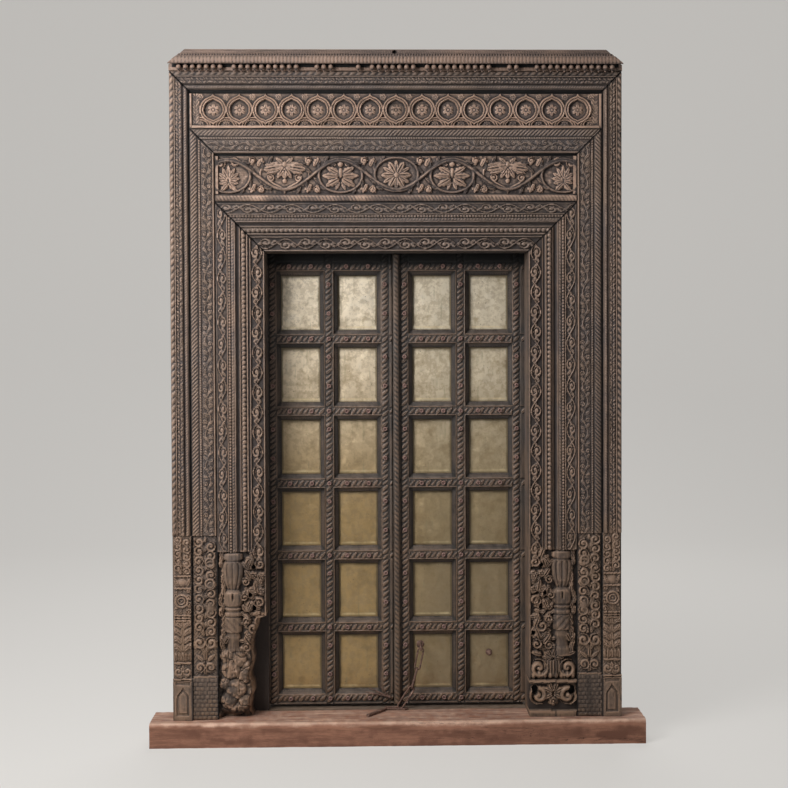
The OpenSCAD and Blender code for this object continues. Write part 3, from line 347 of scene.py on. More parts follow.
def outer_bands(r):
    """Rope, fine foliage and a smooth round fillet."""
    u, w = r.u, r.w
    r.h = np.where(w < 16.3, 134 + 6 * rope(u, w, 0, 16.3, 24, 13), r.h)
    field = (w > 19.4) & (w < 43.2)
    r.h = np.where(field, 133.5 + 5.5 * sprigs(u, w, 31.3, 12, 26, 11), r.h)
    strokes = np.abs(np.sin(np.pi * (u + 0.8 * w) / 9)) ** 1.5
    r.h = r.h - np.where((w > 48) & (w < 57), 1.5 * strokes + 0.5 * drift(u, w, 40, 12), 0)
    r.shade((w > 50.5) & (w < 57), -0.2)
    r.shade((w > 43.5) & (w < 50.5), -0.45)
    r.shade((w > 57) & (w < 63), -0.5)
    # Painted shade in the gap beside the middle surround.
    r.shade(w > 62.5, -1.2)


def middle_bands(r):
    """Close rope, a string of beads and a broad feathered band with a beaded edge."""
    u, w = r.u, r.w
    r.h = np.where(w < 26.5, 127.5 + 6.5 * rope(u, w, 1, 26.5, 13.6, 26), r.h)
    r.h = np.where((w > 28.8) & (w < 37.2), 130 + 3.5 * beads(u, w, 33, 3.8, 8.5), r.h)
    field = (w > 37.3) & (w < 78.3)
    foliage = np.maximum(sprigs(u, w, 58, 20.5, 54, 21),
                         0.8 * stem(w - 58 - 9 * np.sin(np.pi * u / 54), 2))
    r.h = np.where(field, 128.5 + 6 * foliage, r.h)
    r.h = r.h + np.where((w > 78.5) & (w < 84), 1.2 * np.sin(np.pi * u / 6) ** 2 - 1, 0)
    # Painted shade in the gaps beside the outer and the inner surround.
    r.shade(w < 1.6, -0.8)
    r.shade(w > 84, -1.6)


def inner_bands(r):
    """Scroll band, bead line, string of beads, hollow, leafy strand and a second scroll
    band beside the opening."""
    u, w = r.u, r.w
    field = (w > 4) & (w < 38.3)
    r.h = np.where(field, 128.5 + 5.5 * scrolled(u, w, 21, 17, 150), r.h)
    r.h = np.where((w >= 38.3) & (w < 41.3), 132.5 + 1.8 * beads(u, w, 39.8, 3, 7), r.h)
    r.h = np.where((w > 41.3) & (w < 53.3), 127 + 7 * beads(u, w, 47.3, 5.6, 10.6), r.h)
    r.h = np.where((w > 53.3) & (w < 63.3), 129.5 + 3 * rope(u, w, 53.3, 63.3, 11, 6), r.h)
    strand = np.maximum(beads(u, w, 95, 8.2, 16.2), 0.8 * rope(u, w, 85, 105, 16.2, 9))
    r.h = np.where((w > 84.3) & (w < 105.2), 121 + 10.5 * strand, r.h)
    field = (w > 120.5) & (w < 162.3)
    r.h = np.where(field, 118.5 + 8.5 * scrolled(u, w, 141.4, 20.5, 138), r.h)
    r.shade((w > 70) & (w < 80), -0.35)
    # Painted shade in the gap beside the middle surround.
    r.shade(w < 2, -0.9)


def carve_pair(r, at, spread, motif, reach, base, lift, lean=0.0):
    """Carves a motif twice on a jamb, mirrored about the upright line through at and
    spread to each side of it. The motif's x axis points up and leans outwards by lean
    degrees."""
    for side in (1, -1):
        r.stamp(lambda x, y: motif(x, side * y), (at[0], at[1] + side * spread), reach,
                base, lift, 180 - side * lean)


def outer_foot(r, v, top):
    """Foot of the outer jamb, from a plain block with an arched panel up through leaves
    and a round medallion to paired tendrils."""
    foot = v < OUTER_FOOT
    base, lift, mid = 130.5, 9.0, 34
    r.h = np.where(foot, base + 3.6 * feathered(r.u, r.w, mid, 33, 11, 15), r.h)
    for k in range(5):
        for w, height, hand in ((19, 528, 1), (50, 518, -1)):
            at = (top - height - 25 * k, w)
            r.stamp(curl_of(14, 1.2 + k, hand), at, 18, base, lift)
        for side in (-1, 1):
            at = (top - 508 - 25 * k, mid + 3 * side)
            r.stamp(leaf_of(27, 13, 3), at, 30, base, lift - 1, 180 - 24 * side)
    for height in (456, 498):
        r.level((v > height) & (v < height + 6) & (r.w > 4) & (r.w < 64), 139)
    boss = (top - 479, 32)
    r.stamp(ball_of(17, 20), boss, 28, base, lift)
    carve_pair(r, (top - 464, mid), 14, leaf_of(34, 15, 3), 36, base, lift, 22)
    medallion = (top - 415, 31)
    r.stamp(lambda x, y: dome((x ** 2 + y ** 2) / 31 ** 2), medallion, 34, base - 3, 7)
    r.stamp(ring_of(21, 4.4), medallion, 28, base, lift)
    r.stamp(ring_of(11.5, 3.4), medallion, 18, base, lift)
    r.stamp(flower_of(8, 5), medallion, 12, base, lift - 1)
    for k in range(4):
        at = (top - 378 - 24 * k, 57)
        r.stamp(curl_of(10, 0.6, 1 if k % 2 else -1), at, 12, base, lift)
        r.stamp(leaf_of(20, 10, 2), (at[0] - 8, 11), 22, base, lift - 1, 165)
    for height in (344, 353, 362):
        r.level((v > height) & (v < height + 5) & (r.w > 5) & (r.w < 63), 139)
    for k in range(4):
        at = (top - 241 - 27 * k, mid)
        carve_pair(r, at, 3, leaf_of(40, 20, 4), 42, base, lift, 44)
        carve_pair(r, (at[0] - 16, mid), 25, curl_of(8, 0.4), 10, base, lift)
        r.stamp(leaf_of(30, 13, 3), at, 32, base + 0.5, lift, 180)
    for w in np.linspace(10, 58, 5):
        r.stamp(leaf_of(32, 15, 2), (top - 204, w), 34, base, lift, 180)
    r.level((v > 196) & (v < 203) & (r.w > 4) & (r.w < 64), 139)
    carve_pair(r, (top - 170, mid), 15, curl_of(15, 0.4), 18, base, lift)
    carve_pair(r, (top - 148, mid), 3, leaf_of(34, 14, 3), 36, base, lift, 58)
    r.stamp(leaf_of(46, 17, 3), (top - 148, mid), 48, base, lift, 180)
    r.level((v > 133) & (v < 145), 138.5)
    r.level((v > 136) & (v < 139.5), 131)
    r.level(v <= 133, 138)
    arch = ogee_distance(r.w - mid, np.maximum(v - 70, 0), 21, 46)
    arch = np.where(v < 70, np.abs(r.w - mid) - 21, arch)
    r.level((arch < 0) & (v > 16) & (v < 118), 133.5)
    r.level((arch < -7) & (v > 24) & (v < 104), 136.5)
    r.level((v < 133) & (v > 123) & (r.w > 8) & (r.w < 60), 135)
    edge = s_curve(np.minimum(r.w, 68 - r.w), 0, 5)
    r.h = np.where(foot & (v > 145), 126 + (r.h - 126) * (0.4 + 0.6 * edge), r.h)
    r.shade(foot, 0.12)
    # Painted shade in the gap beside the middle surround.
    r.shade(foot & (r.w > 65), -1.3)


def middle_foot(r, v, top):
    """Foot of the middle jamb: woven block, heart-shaped foliage, two facing volutes and
    a climbing pair of tendrils."""
    foot = v < MIDDLE_FOOT
    base, lift, mid = 124.0, 10.5, 43.5
    r.h = np.where(foot, base + 3.6 * feathered(r.u, r.w, mid, 41, 13, 25), r.h)
    for k in range(10):
        for w, height, hand in ((23, 322, 1), (64, 306, -1)):
            at = (top - height - 33 * k, w)
            r.stamp(curl_of(18, 1.0 + 1.7 * k, hand), at, 24, base, lift)
        for side, reach in ((-1, 36), (1, 30)):
            at = (top - 292 - 33 * k, mid + 3 * side)
            turn = 180 - side * (26 + 14 * (k % 3))
            r.stamp(leaf_of(reach, 16, 3), at, 38, base, lift, turn)
        r.stamp(leaf_of(26, 11, 2), (top - 318 - 33 * k, 43), 28, base, lift - 1, 172)
    r.stamp(ball_of(22, 17), (top - 389, 61), 26, base, lift + 1)
    for height in (475, 548):
        ring = (top - height, 60)
        r.stamp(ring_of(14, 4.6), ring, 22, base + 1, lift)
        r.stamp(flower_of(7, 6), ring, 10, base, lift - 1)
    middle = (top - 268, mid)
    carve_pair(r, middle, 20, curl_of(21, 0.2), 25, base, lift)
    carve_pair(r, (top - 232, mid), 2, leaf_of(48, 17, 4), 50, base, lift, 24)
    carve_pair(r, (top - 246, mid), 34, leaf_of(30, 13, 3), 34, base, lift, 12)
    carve_pair(r, (top - 182, mid), 18, curl_of(18, 3.1, -1), 22, base, lift)
    carve_pair(r, (top - 200, mid), 4, leaf_of(38, 16, 3), 40, base, lift, 128)
    carve_pair(r, (top - 204, mid), 6, leaf_of(36, 15, 3), 40, base, lift, 50)
    r.stamp(leaf_of(44, 17, 3), (top - 206, mid), 48, base, lift, 180)
    r.stamp(leaf_of(34, 14, 2), (top - 156, mid), 36, base, lift, 180)
    r.level((v > 146) & (v < 152), 133)
    course, brick = v / 14.5, r.w / 16.4
    brick = brick + np.where(np.floor(course) % 2 == 0, 0, 0.5)
    woven = np.abs(np.sin(np.pi * course)) ** 0.4 * np.abs(np.sin(np.pi * brick)) ** 0.35
    r.h = np.where(v <= 146, 131 + 3 * woven, r.h)
    edge = s_curve(np.minimum(r.w, 84 - r.w), 0, 5)
    r.h = np.where(foot & (v > 146) & (r.w < 84), 122 + (r.h - 122) * (0.4 + 0.6 * edge), r.h)
    r.shade(foot, 0.1)
    r.shade(v <= 146, -0.15)
    # Painted shade in the gaps beside the outer and the inner surround.
    r.shade(foot & ((r.w > 84) | (r.w < 2)), -1.5)


# Turned column on the foot of the inner jamb: pairs of height above the threshold and
# radius, read upwards
COLUMN = [
    (206, 12), (212, 31), (224, 35), (238, 30), (246, 24), (262, 22), (284, 27), (300, 24),
    (304, 30), (318, 33), (344, 33), (352, 30), (356, 26), (360, 31), (368, 32), (374, 26),
    (384, 31), (390, 25), (394, 29), (404, 35), (420, 38), (434, 36), (444, 27), (450, 20),
    (460, 24), (480, 33), (510, 38), (534, 39), (544, 33), (550, 27), (560, 36), (574, 34),
    (582, 18)]
COLUMN_W = 52


def inner_foot(r, v, top):
    """Foot of the inner jamb: a turned column of pots under a leaf capital, loose leaves
    and tendrils beside it, and a lotus block at the bottom."""
    floor, lift = 110.0, 23
    beside = (v < INNER_FOOT - 60) & (r.w < 160)
    ground = floor + 5 * feathered(r.u, r.w, 83, 90, 17, 35) * s_curve(r.w, 84, 92)
    r.h = np.where(((v < INNER_FOOT) & (r.w < 110)) | beside, ground, r.h)
    spray = np.random.default_rng(37)
    for height in np.arange(250, 560, 21):
        for w in (96, 119, 142):
            at = (top - height - spray.uniform(-7, 7), w + spray.uniform(-6, 6))
            turn, size = spray.uniform(0, 360), spray.uniform(26, 34)
            if height < 500 or w < 110:
                r.stamp(leaf_of(size, 0.55 * size, 3), at, 40, floor + 1, 14, turn)
    for height in np.arange(222, 580, 19):
        turn, w = 180 + spray.uniform(-45, 45), spray.uniform(8, 20)
        r.stamp(leaf_of(34, 20, 3), (top - height, w), 36, floor + 1, 15, turn)
    radius = np.interp(v, [p[0] for p in COLUMN], [p[1] for p in COLUMN], left=0, right=0)
    off = (r.w - COLUMN_W) / np.maximum(radius, 0.1)
    petals = np.abs(np.sin(6 * off))
    flutes = np.where((v > 450) & (v < 545), -5 * (1 - petals) ** 2, 0)
    cup = (v > 392) & (v < 440)
    slots = np.exp(-(((v - 424) / 11) ** 2)) * (np.abs(np.sin(3.4 * off)) < 0.3)
    flutes = np.where(cup, -9 * slots, flutes)
    twisted = -2.5 * np.abs(np.sin(4 * off + v / 9)) ** 4
    flutes = np.where((v > 306) & (v < 350), twisted, flutes)
    column = floor - 2 + dome(off ** 2) ** 0.8 * np.minimum(radius, 31) * 0.84 + flutes
    r.h = np.where((np.abs(off) < 1) & (radius > 1), np.maximum(r.h, column), r.h)
    sprays = [
        (556, 128, 44, 26, 200), (560, 112, 40, 22, 330), (520, 108, 46, 27, 160),
        (505, 140, 42, 24, 20), (488, 116, 40, 26, 215), (470, 146, 38, 20, 160),
        (452, 104, 44, 28, 25), (436, 136, 46, 27, 190), (410, 112, 42, 26, 340),
        (392, 148, 40, 22, 205), (372, 100, 42, 26, 150), (352, 132, 46, 28, 20),
        (330, 108, 40, 24, 200), (312, 146, 38, 22, 335), (288, 92, 46, 27, 35),
        (270, 128, 44, 26, 160), (262, 22, 40, 24, 150), (246, 72, 44, 26, 20)]
    for height, w, length, width, turn in sprays:
        at = (top - height, w)
        r.stamp(leaf_of(length, width), at, 60, floor, lift, turn)
        r.stamp(leaf_of(0.8 * length, 0.8 * width, 3), at, 60, floor, lift - 3,
                turn + 62)
    tendrils = [(540, 146, 17, 1), (478, 96, 14, -1), (424, 92, 13, 1), (406, 144, 18, -1),
                (340, 96, 14, 1), (316, 122, 20, -1), (252, 140, 17, 1), (248, 98, 16, -1)]
    for height, w, size, hand in tendrils:
        at = (top - height, w)
        r.stamp(curl_of(size, height / 9, hand), at, 24, floor, lift - 1)
    for height, w in ((500, 122), (346, 140), (444, 150)):
        r.stamp(flower_of(17, 4), (top - height, w), 20, floor + 2, lift - 1, 20)
    # Deep holes, darkened as painted shade.
    for height, w in ((386, 126), (432, 112), (290, 152), (530, 124)):
        hole = ((v - height) / 9) ** 2 + ((r.w - w) / 6) ** 2 < 1
        r.level(hole, floor - 8)
        r.shade(hole, -2)
    lotus = (top - 200, 83)
    for k in range(7):
        turn = 180 + (k - 3) * 27
        r.stamp(leaf_of(42, 22, 2), lotus, 60, floor, lift, turn)
    carve_pair(r, (top - 214, 83), 38, leaf_of(42, 20, 3), 46, floor, lift, 78)
    carve_pair(r, (top - 168, 83), 50, curl_of(31, 0.6), 34, floor, lift + 1)
    carve_pair(r, (top - 130, 83), 46, leaf_of(46, 22), 60, floor, lift, -30)
    bowl = dome(((r.w - 83) / 36) ** 2 + ((v - 176) / 42) ** 2) ** 0.6
    ribs = 1 - 0.22 * np.abs(np.sin(np.pi * (r.w - 83) / 10)) ** 3
    r.h = np.where((bowl > 0.05) & (v < 196), np.maximum(r.h, floor + 25 * bowl * ribs), r.h)
    for w in np.linspace(14, 152, 8):
        r.stamp(ball_of(18, 10), (top - 146, w), 20,
                floor, lift)
    r.level((v < 127) & (v > 118), 134)
    r.level((v <= 118) & (v > 112), 124)
    r.level(v <= 112, 115)
    carve_pair(r, (top - 72, 83), 51, curl_of(33, 3.4, 1, 1.3), 36, 115, 20)
    for lean in (20, 62, 115):
        at = (top - 86 + lean / 12, 83)
        carve_pair(r, at, 2, leaf_of(42, 22), 60, 115, 19, lean)
    r.stamp(flower_of(20, 6), (top - 52, 83), 24, 115, 20)
    # Eyes: deep holes, darkened as painted shade.
    for w in (18, 147):
        eye = ((v - 90) / 16) ** 2 + ((r.w - w) / 11) ** 2 < 1
        r.level(eye, 98)
        r.shade(eye, -1.8)
    r.level(v < 20, 134)
    r.h = np.where((r.w < 5) & (v < 200), np.minimum(r.h, 130), r.h)
    r.tone = np.where((v < INNER_FOOT) & (r.tone == 0), 0.1, r.tone)


# Height above the threshold at which the loss on the left inner jamb ends
LOSS_TOP = 361


def lost_edge(v, width):
    """Line across the left inner jamb, inside which the wood is lost: it runs a ragged
    way from the opening's edge at the top to about 60 mm from it near the threshold."""
    line = np.interp(v, [0, 40, 90, 150, 210, 260, 310, LOSS_TOP - 9, LOSS_TOP],
                     [52, 60, 46, 58, 44, 52, 34, 22, -6])
    return width - line + 2.5 * drift(v, v * 0, 17, 31) * (v < LOSS_TOP - 21)


# Friezes and crown


def lattice_carving(r, length, width):
    """Row of pointed medallions, each a double line round a hollow with a flower, over a
    row of half medallions. The lines are stems at two distances from the outline. Here v
    is the height above the board's lower edge."""
    rim, top_rim, pitch = 11, 7, 90
    v = width - r.w
    mid = rim + (width - rim - top_rim) / 2
    half = mid - rim
    x = r.u - length / 2
    cell = x - pitch * np.round(x / pitch)
    count = math.floor((length / 2 - 49) / pitch)
    whole = np.abs(x) < (count + 0.5) * pitch + 2
    d = medallion_distance(cell, v - mid, 46, half + 4)
    ring = np.maximum(stem(d + 2.4, 2.9), 0.92 * stem(d + 9.6, 2.7))
    h = 121 + 9.5 * ring
    tone = 0.05 * ring
    h = np.where((d < -2.4) & (d > -9.6), np.maximum(h, 126), h)
    hollow = d < -12
    bloom = flower(cell, v - mid, 21, 6, np.pi / 2)
    h = np.where(hollow, 119 + 6.5 * bloom, h)
    tone = np.where(hollow, -0.05, tone)
    beside = x + pitch / 2 - pitch * np.round((x + pitch / 2) / pitch)
    low = (np.hypot(beside / 38, (v - rim + 4) / 33) - 1) * 32
    under = (d > -0.5) & (v < mid)
    arch = np.maximum(stem(low + 2, 2.6), 0.9 * stem(low + 8.4, 2.4))
    h = np.where(under, np.maximum(h, 120 + 9 * arch), h)
    tone = np.where(under, 0, tone)
    bloom = flower(beside, v - rim - 5, 18, 5, np.pi / 2)
    h = np.where(under & (low < -10.5), 119.5 + 6 * bloom, h)
    tone = np.where(under & (low < -10.5), -0.1, tone)
    # The ground above, between the medallions' tips, darker as painted shade.
    above = (d > 0) & (v > mid)
    h = np.where(above, np.maximum(h, 120 + 5 * flower(beside, v - width + 18, 15, 5)), h)
    tone = np.where(above, -0.15, tone)
    ends = ~whole
    h = np.where(ends, 122 + 3 * feathered(v, np.abs(x), length / 2 - 22, 14, 12, 41), h)
    tone = np.where(ends, 0, tone + 0.1)
    fillet = np.abs(x) > length / 2 - 9
    h = np.where(fillet | (v < rim), 131 + 4 * stem(v - rim / 2, rim / 2 + 1) * ~fillet, h)
    h = np.where(fillet, 130, h)
    tone = np.where((v < rim) & (v > 3), 0.35, tone)
    # Painted shade, near black, in the gaps along the board's lower and upper edges.
    tone = np.where((v <= 2.4) | (v > width - top_rim), -2, tone)
    r.h = np.where(v > width - top_rim, 119, h)
    # Painted shade in the gaps at the board's ends.
    r.tone = np.where(np.abs(x) > length / 2 - 2, -1.5, tone)


def at_angle(x, y, ox, oy, degrees):
    """Coordinates about the point (ox, oy), with x turned by an angle towards y."""
    c, s = math.cos(math.radians(degrees)), math.sin(math.radians(degrees))
    return (x - ox) * c + (y - oy) * s, (y - oy) * c - (x - ox) * s


def blades(x, y, rows):
    """The highest, at each point, of leaves given as root x, root y, angle in degrees,
    length, breadth and strength."""
    out = np.zeros_like(x)
    for ox, oy, degrees, length, breadth, strength in rows:
        a, b = at_angle(x, y, ox, oy, degrees)
        out = np.maximum(out, strength * leaf(a, b, length, breadth, 4))
    return out


def lotus_motif(x, y):
    """Lotus seen from the side: two broad leaves, hanging petals and a pointed vase of
    stem under them. x runs right and y up."""
    x = np.abs(x)
    out = blades(x, y, [(0, 31, -9, 76, 38, 1), (0, 31, 3, 70, 30, 0.95),
                        (0, 29, -20, 66, 28, 0.9), (0, 27, -56, 46, 23, 0.95),
                        (4, 38, 40, 34, 18, 0.75), (44, -36, 14, 34, 17, 0.55)])
    vase = ogee_distance(x, y, 57, 56)
    out = np.maximum(out, 0.6 * stem(vase, 4.4) * (y < -6))
    out = np.maximum(out, 0.55 * curl(x - 48, y + 10, 13, 1.0))
    out = np.maximum(out, 0.45 * stem(ogee_distance(x, y - 4, 84, 66), 3.6) * (y < 40))
    out = np.maximum(out, 0.95 * leaf(20 - y, x, 34, 22, 2))
    out = np.maximum(out, 0.8 * dome((x / 8) ** 2 + ((y + 20) / 9) ** 2))
    return np.maximum(out, dome((x / 10) ** 2 + ((y - 36) / 12) ** 2))


def six_leaves(x, y):
    """Flower of three pairs of broad leaves about an upright pod, under a round bud."""
    x = np.abs(x)
    out = blades(x, y, [(6, 4, 30, 48, 27, 0.95), (6, -4, 2, 58, 28, 1),
                        (5, -12, -30, 54, 29, 1), (4, -22, -66, 34, 15, 0.6),
                        (14, 34, 20, 34, 15, 0.6)])
    pod = dome((x / 9) ** 2 + ((y - 8) / 19) ** 2) * (1 - 0.25 * np.abs(np.sin(np.pi * x / 5)))
    out = np.maximum(out, pod)
    return np.maximum(out, 0.9 * dome((x / 11) ** 2 + ((y - 38) / 11) ** 2))


def star_bloom(x, y):
    """Round flower of six broad leaves with narrow ones between them."""
    r, a = np.hypot(x, y), np.arctan2(y, x)
    out = np.zeros_like(x)
    for turn, breadth, strength in ((0, 30, 1), (np.pi / 6, 22, 0.85)):
        local = (a + turn + np.pi / 6) % (np.pi / 3) - np.pi / 6
        blade = leaf(r * np.cos(local) - 6, r * np.sin(local), 47, breadth, 3)
        out = np.maximum(out, strength * blade)
    return np.maximum(out, dome((r / 13) ** 2))


def fan_leaf(x, y):
    """Fan of nine ribs over two low leaves, with a rolled tendril on each shoulder."""
    out = blades(x, y, [(0, -18, 90 + 27 * k, 52 - 4 * abs(k), 22, 0.8 + 0.07 * (k % 2))
                        for k in range(-4, 5)])
    out = np.maximum(out, 0.7 * curl(x + 20, y - 44, 16, 0.4, 1))
    out = np.maximum(out, 0.7 * curl(x - 26, y - 40, 16, 2.4, -1))
    low_pair = blades(x, y, [(0, -26, 228, 44, 20, 1), (0, -26, 312, 44, 20, 1)])
    return np.maximum(out, 0.8 * low_pair)


# Motif of each bend of the scroll, counted outwards from the middle
MOTIFS = {0: star_bloom, 1: six_leaves, 2: lotus_motif, 3: fan_leaf}


def scroll_carving(r, length, width):
    """Winding stem whose seven bends each hold a flower inside a ring of tendril, over a
    thick rope moulding. The stem follows a cosine, and the distance to it is divided by
    the steepness there. Here v is the height above the board's lower edge."""
    rim, top_rim, bend, swing = 30, 7, 193, 49
    v = width - r.w
    mid = rim + (width - rim - top_rim) / 2
    x, y = r.u - length / 2, v - mid
    k = np.round(x / bend)
    cell = x - k * bend
    high = np.where(np.abs(k) % 2 == 1, 1, -1)
    slope = np.sqrt(1 + (swing * np.pi / bend * np.sin(np.pi * x / bend)) ** 2)
    field = stem((y + swing * np.cos(np.pi * x / bend)) / slope, 6)
    ring_x, ring_y = 75, 58
    ringed = (np.hypot(cell / ring_x, (y + 2 * high) / ring_y) - 1) * 60
    field = np.maximum(field, 0.85 * stem(ringed, 4.4) * (np.abs(k) != 2))
    outer_leaves = np.zeros_like(x)
    for degrees in (22, 50, 130, 158, 205, 232, 310, 338):
        px = (ring_x + 5) * math.cos(math.radians(degrees))
        py = ring_y * math.sin(math.radians(degrees))
        a, b = at_angle(cell, y, px, py, degrees - 62)
        outer_leaves = np.maximum(outer_leaves, 0.8 * leaf(a + 8, b, 34, 15, 3))
    field = np.maximum(field, outer_leaves * (ringed > -2))
    tone = np.where(field > 0.3, -0.75, 0.15)
    for number, motif in MOTIFS.items():
        mirrored = np.where(x < 0, -1, 1) if number else 1
        petals = np.where(np.abs(k) == number, motif(cell * mirrored, y), 0)
        rubbed = 0.27 * s_curve(petals, 0.45, 0.8)
        tone = np.where((petals > field) & (petals > 0.15), rubbed, tone)
        field = np.maximum(field, petals)
    between = x - bend * (np.floor(x / bend) + 0.5)
    for side in (-1, 1):
        sx, sy = between * side, y * side
        leaves = blades(sx, sy, [(4, 30, 62, 36, 17, 0.85), (-14, 34, 110, 30, 15, 0.8),
                                 (22, 22, 20, 30, 14, 0.8)])
        field = np.maximum(field, leaves * (ringed > 0))
        field = np.maximum(field, 0.8 * flower(sx - 16, sy - 47, 13, 5))
        field = np.maximum(field, 0.8 * curl(sx + 14, sy - 50, 12, 0.5, side))
    h = 120.5 + 11 * field + 0.9 * drift(x, v, 7, 51)
    fillet = np.abs(x) > length / 2 - 11
    h = np.where(fillet & (v < 161), 131 + 1.2 * drift(x, v, 11, 52), h)
    moulding = (v > 3) & (v < 26)
    h = np.where(v < rim, 128, h)
    twist = rope(r.u, v, 3, 26, 12.2, 13)
    h = np.where(moulding, 127.5 + 8.5 * dome(((v - 14.5) / 11.5) ** 2) + 2 * twist, h)
    tone = np.where(moulding, -0.35 + 0.3 * drift(x, v, 60, 53), tone)
    # Painted shade, near black, in the gaps along the board's edges and in the groove over the
    # rope moulding, and at the board's ends.
    tone = np.where((v <= 3) | (v > width - top_rim), -2, tone)
    tone = np.where((v > 26) & (v < rim), -1, tone)
    r.tone = np.where(np.abs(x) > length / 2 - 2, -1.5, tone)
    r.h = np.where(v > width - top_rim, 119, h)


# Meshes


def grid_quads(rows, columns):
    """Corner numbers of the quads between the points of a grid, row after row."""
    first = np.arange(rows - 1)[:, None] * columns + np.arange(columns - 1)[None, :]
    return np.stack([first, first + 1, first + columns + 1, first + columns], -1).reshape(-1, 4)


def closed_slab(u, w, h):
    """Solid under a carved face: the face itself, a wall down each long side, a flat back
    at h = 0 and a cap at each end. Returns points, quads and caps."""
    nu, nw = u.shape
    face = np.stack([u, w, h], -1).reshape(-1, 3)
    ground = np.zeros(nu)
    left = np.stack([u[:, 0], w[:, 0], ground], -1)
    right = np.stack([u[:, -1], w[:, -1], ground], -1)
    i = np.arange(nu - 1)
    low, back_left, back_right = i * nw, nu * nw + i, nu * nw + nu + i
    high = low + nw - 1
    quads = np.concatenate([
        grid_quads(nu, nw),
        np.stack([low, low + nw, back_left + 1, back_left], -1),
        np.stack([high, back_right, back_right + 1, high + nw], -1),
        np.stack([back_left, back_left + 1, back_right + 1, back_right], -1)])
    start = [*range(nw - 1, -1, -1), nu * nw, nu * nw + nu]
    end = [*range((nu - 1) * nw, nu * nw), nu * nw + 2 * nu - 1, nu * nw + nu - 1]
    return np.concatenate([face, left, right]), quads, [start, end]


def closed_tube(rings):
    """Solid through closed loops of points: walls from loop to loop and a cap at each
    end. rings holds the loops, one row each."""
    count, around = rings.shape[:2]
    i, j = np.arange(count - 1)[:, None] * around, np.arange(around)[None, :]
    after = (j + 1) % around
    quads = np.stack([i + j, i + after, i + around + after, i + around + j], -1)
    start = list(range(around - 1, -1, -1))
    end = [(count - 1) * around + k for k in range(around)]
    return rings.reshape(-1, 3), quads.reshape(-1, 4), [start, end]


def repeated(points, quads, caps, places):
    """Copies of one solid, moved to each of the places."""
    copies = len(places)
    moved = (points[None] + np.asarray(places, float)[:, None]).reshape(-1, 3)
    jump = np.arange(copies) * len(points)
    all_quads = (quads[None] + jump[:, None, None]).reshape(-1, 4)
    all_caps = [[corner + n for corner in cap] for n in jump for cap in caps]
    return moved, all_quads, all_caps


def volume_of(points, quads):
    """Six times the volume inside the quads, by the sum of their corners' products."""
    a, b, c, d = (points[quads[:, k]] for k in range(4))
    return np.sum(a * np.cross(b, c)) + np.sum(a * np.cross(c, d))


def blurred(h, reach):
    """Mean of a grid over a square window of 2 * reach + 1 points, by running sums."""
    for axis in (0, 1):
        pad = [(0, 0), (0, 0)]
        pad[axis] = (reach + 1, reach)
        total = np.cumsum(np.pad(h, pad, mode="edge"), axis=axis)
        span = 2 * reach + 1
        upper = np.take(total, range(span, total.shape[axis]), axis=axis)
        lower = np.take(total, range(0, total.shape[axis] - span), axis=axis)
        h = (upper - lower) / span
    return h


def wear_of(h, floor=0.0):
    """How far each point stands above (towards 1) or below (towards -1) its neighbours, from a
    small and a wider window, less the depth below the given floor, which paints near black
    shade into deep recesses."""
    near, wide = h - blurred(h, 1), h - blurred(h, 4)
    # Painted shade: deeper than 7 mm below the floor goes dark.
    deep = s_curve(h, floor, floor - 7) if floor else 0
    return np.clip(0.4 * near / 1.2 + 0.6 * wide / 3.4 - 1.3 * deep, -1, 1)


def add_piece(name, solid, body, material, nodes=(), wear=None, crease=42):
    """Makes a mesh from points in millimetres, turned outwards by the sign of its volume,
    shaded smooth with creases, and hangs it on its body in place of the part's nodes."""
    points, quads, caps = solid
    if volume_of(points, quads) < 0:
        quads = quads[:, ::-1]
        caps = [cap[::-1] for cap in caps]
    mesh = bpy.data.meshes.new(name)
    mesh.from_pydata((points * MM).tolist(), [], quads.tolist() + [list(c) for c in caps])
    values = np.zeros(len(points), np.float32)
    if wear is not None:
        values[:len(wear)] = wear
    mesh.attributes.new("wear", "FLOAT", "POINT").data.foreach_set("value", values)
    mesh.shade_smooth()
    mesh.set_sharp_from_angle(angle=math.radians(crease))
    mesh.update()
    piece = bpy.data.objects.new(name, mesh)
    bpy.context.scene.collection.objects.link(piece)
    mesh.materials.append(material)
    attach(piece, body)
    if nodes:
        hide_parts(*nodes)


# Shader building


def shader_node(tree, kind, inputs=None, **settings):
    """New node with its settings and inputs. An input is a socket to link or a value."""
    made = tree.nodes.new(kind)
    for key, value in settings.items():
        setattr(made, key, value)
    for key, value in (inputs or {}).items():
        if isinstance(value, bpy.types.NodeSocket):
            tree.links.new(value, made.inputs[key])
        else:
            made.inputs[key].default_value = value
    return made


def colour_mix(tree, factor, first, second, blend="MIX"):
    """Colour between two colours, by a factor."""
    made = shader_node(tree, "ShaderNodeMix", data_type="RGBA", blend_type=blend)
    for index, value in ((0, factor), (6, first), (7, second)):
        if isinstance(value, bpy.types.NodeSocket):
            tree.links.new(value, made.inputs[index])
        elif index == 0:
            made.inputs[index].default_value = value
        else:
            made.inputs[index].default_value = (*value, 1.0)
    return made.outputs[2]


def span(tree, value, low, high, to_low=0.0, to_high=1.0):
    """Value mapped from one span to another with an S-curve, held at both ends."""
    made = shader_node(tree, "ShaderNodeMapRange", interpolation_type="SMOOTHSTEP", inputs={
        "Value": value, "From Min": low, "From Max": high, "To Min": to_low,
        "To Max": to_high})
    return made.outputs["Result"]


def arithmetic(tree, operation, first, second):
    """One arithmetic step on two values."""
    return shader_node(tree, "ShaderNodeMath", {0: first, 1: second},
                       operation=operation).outputs["Value"]


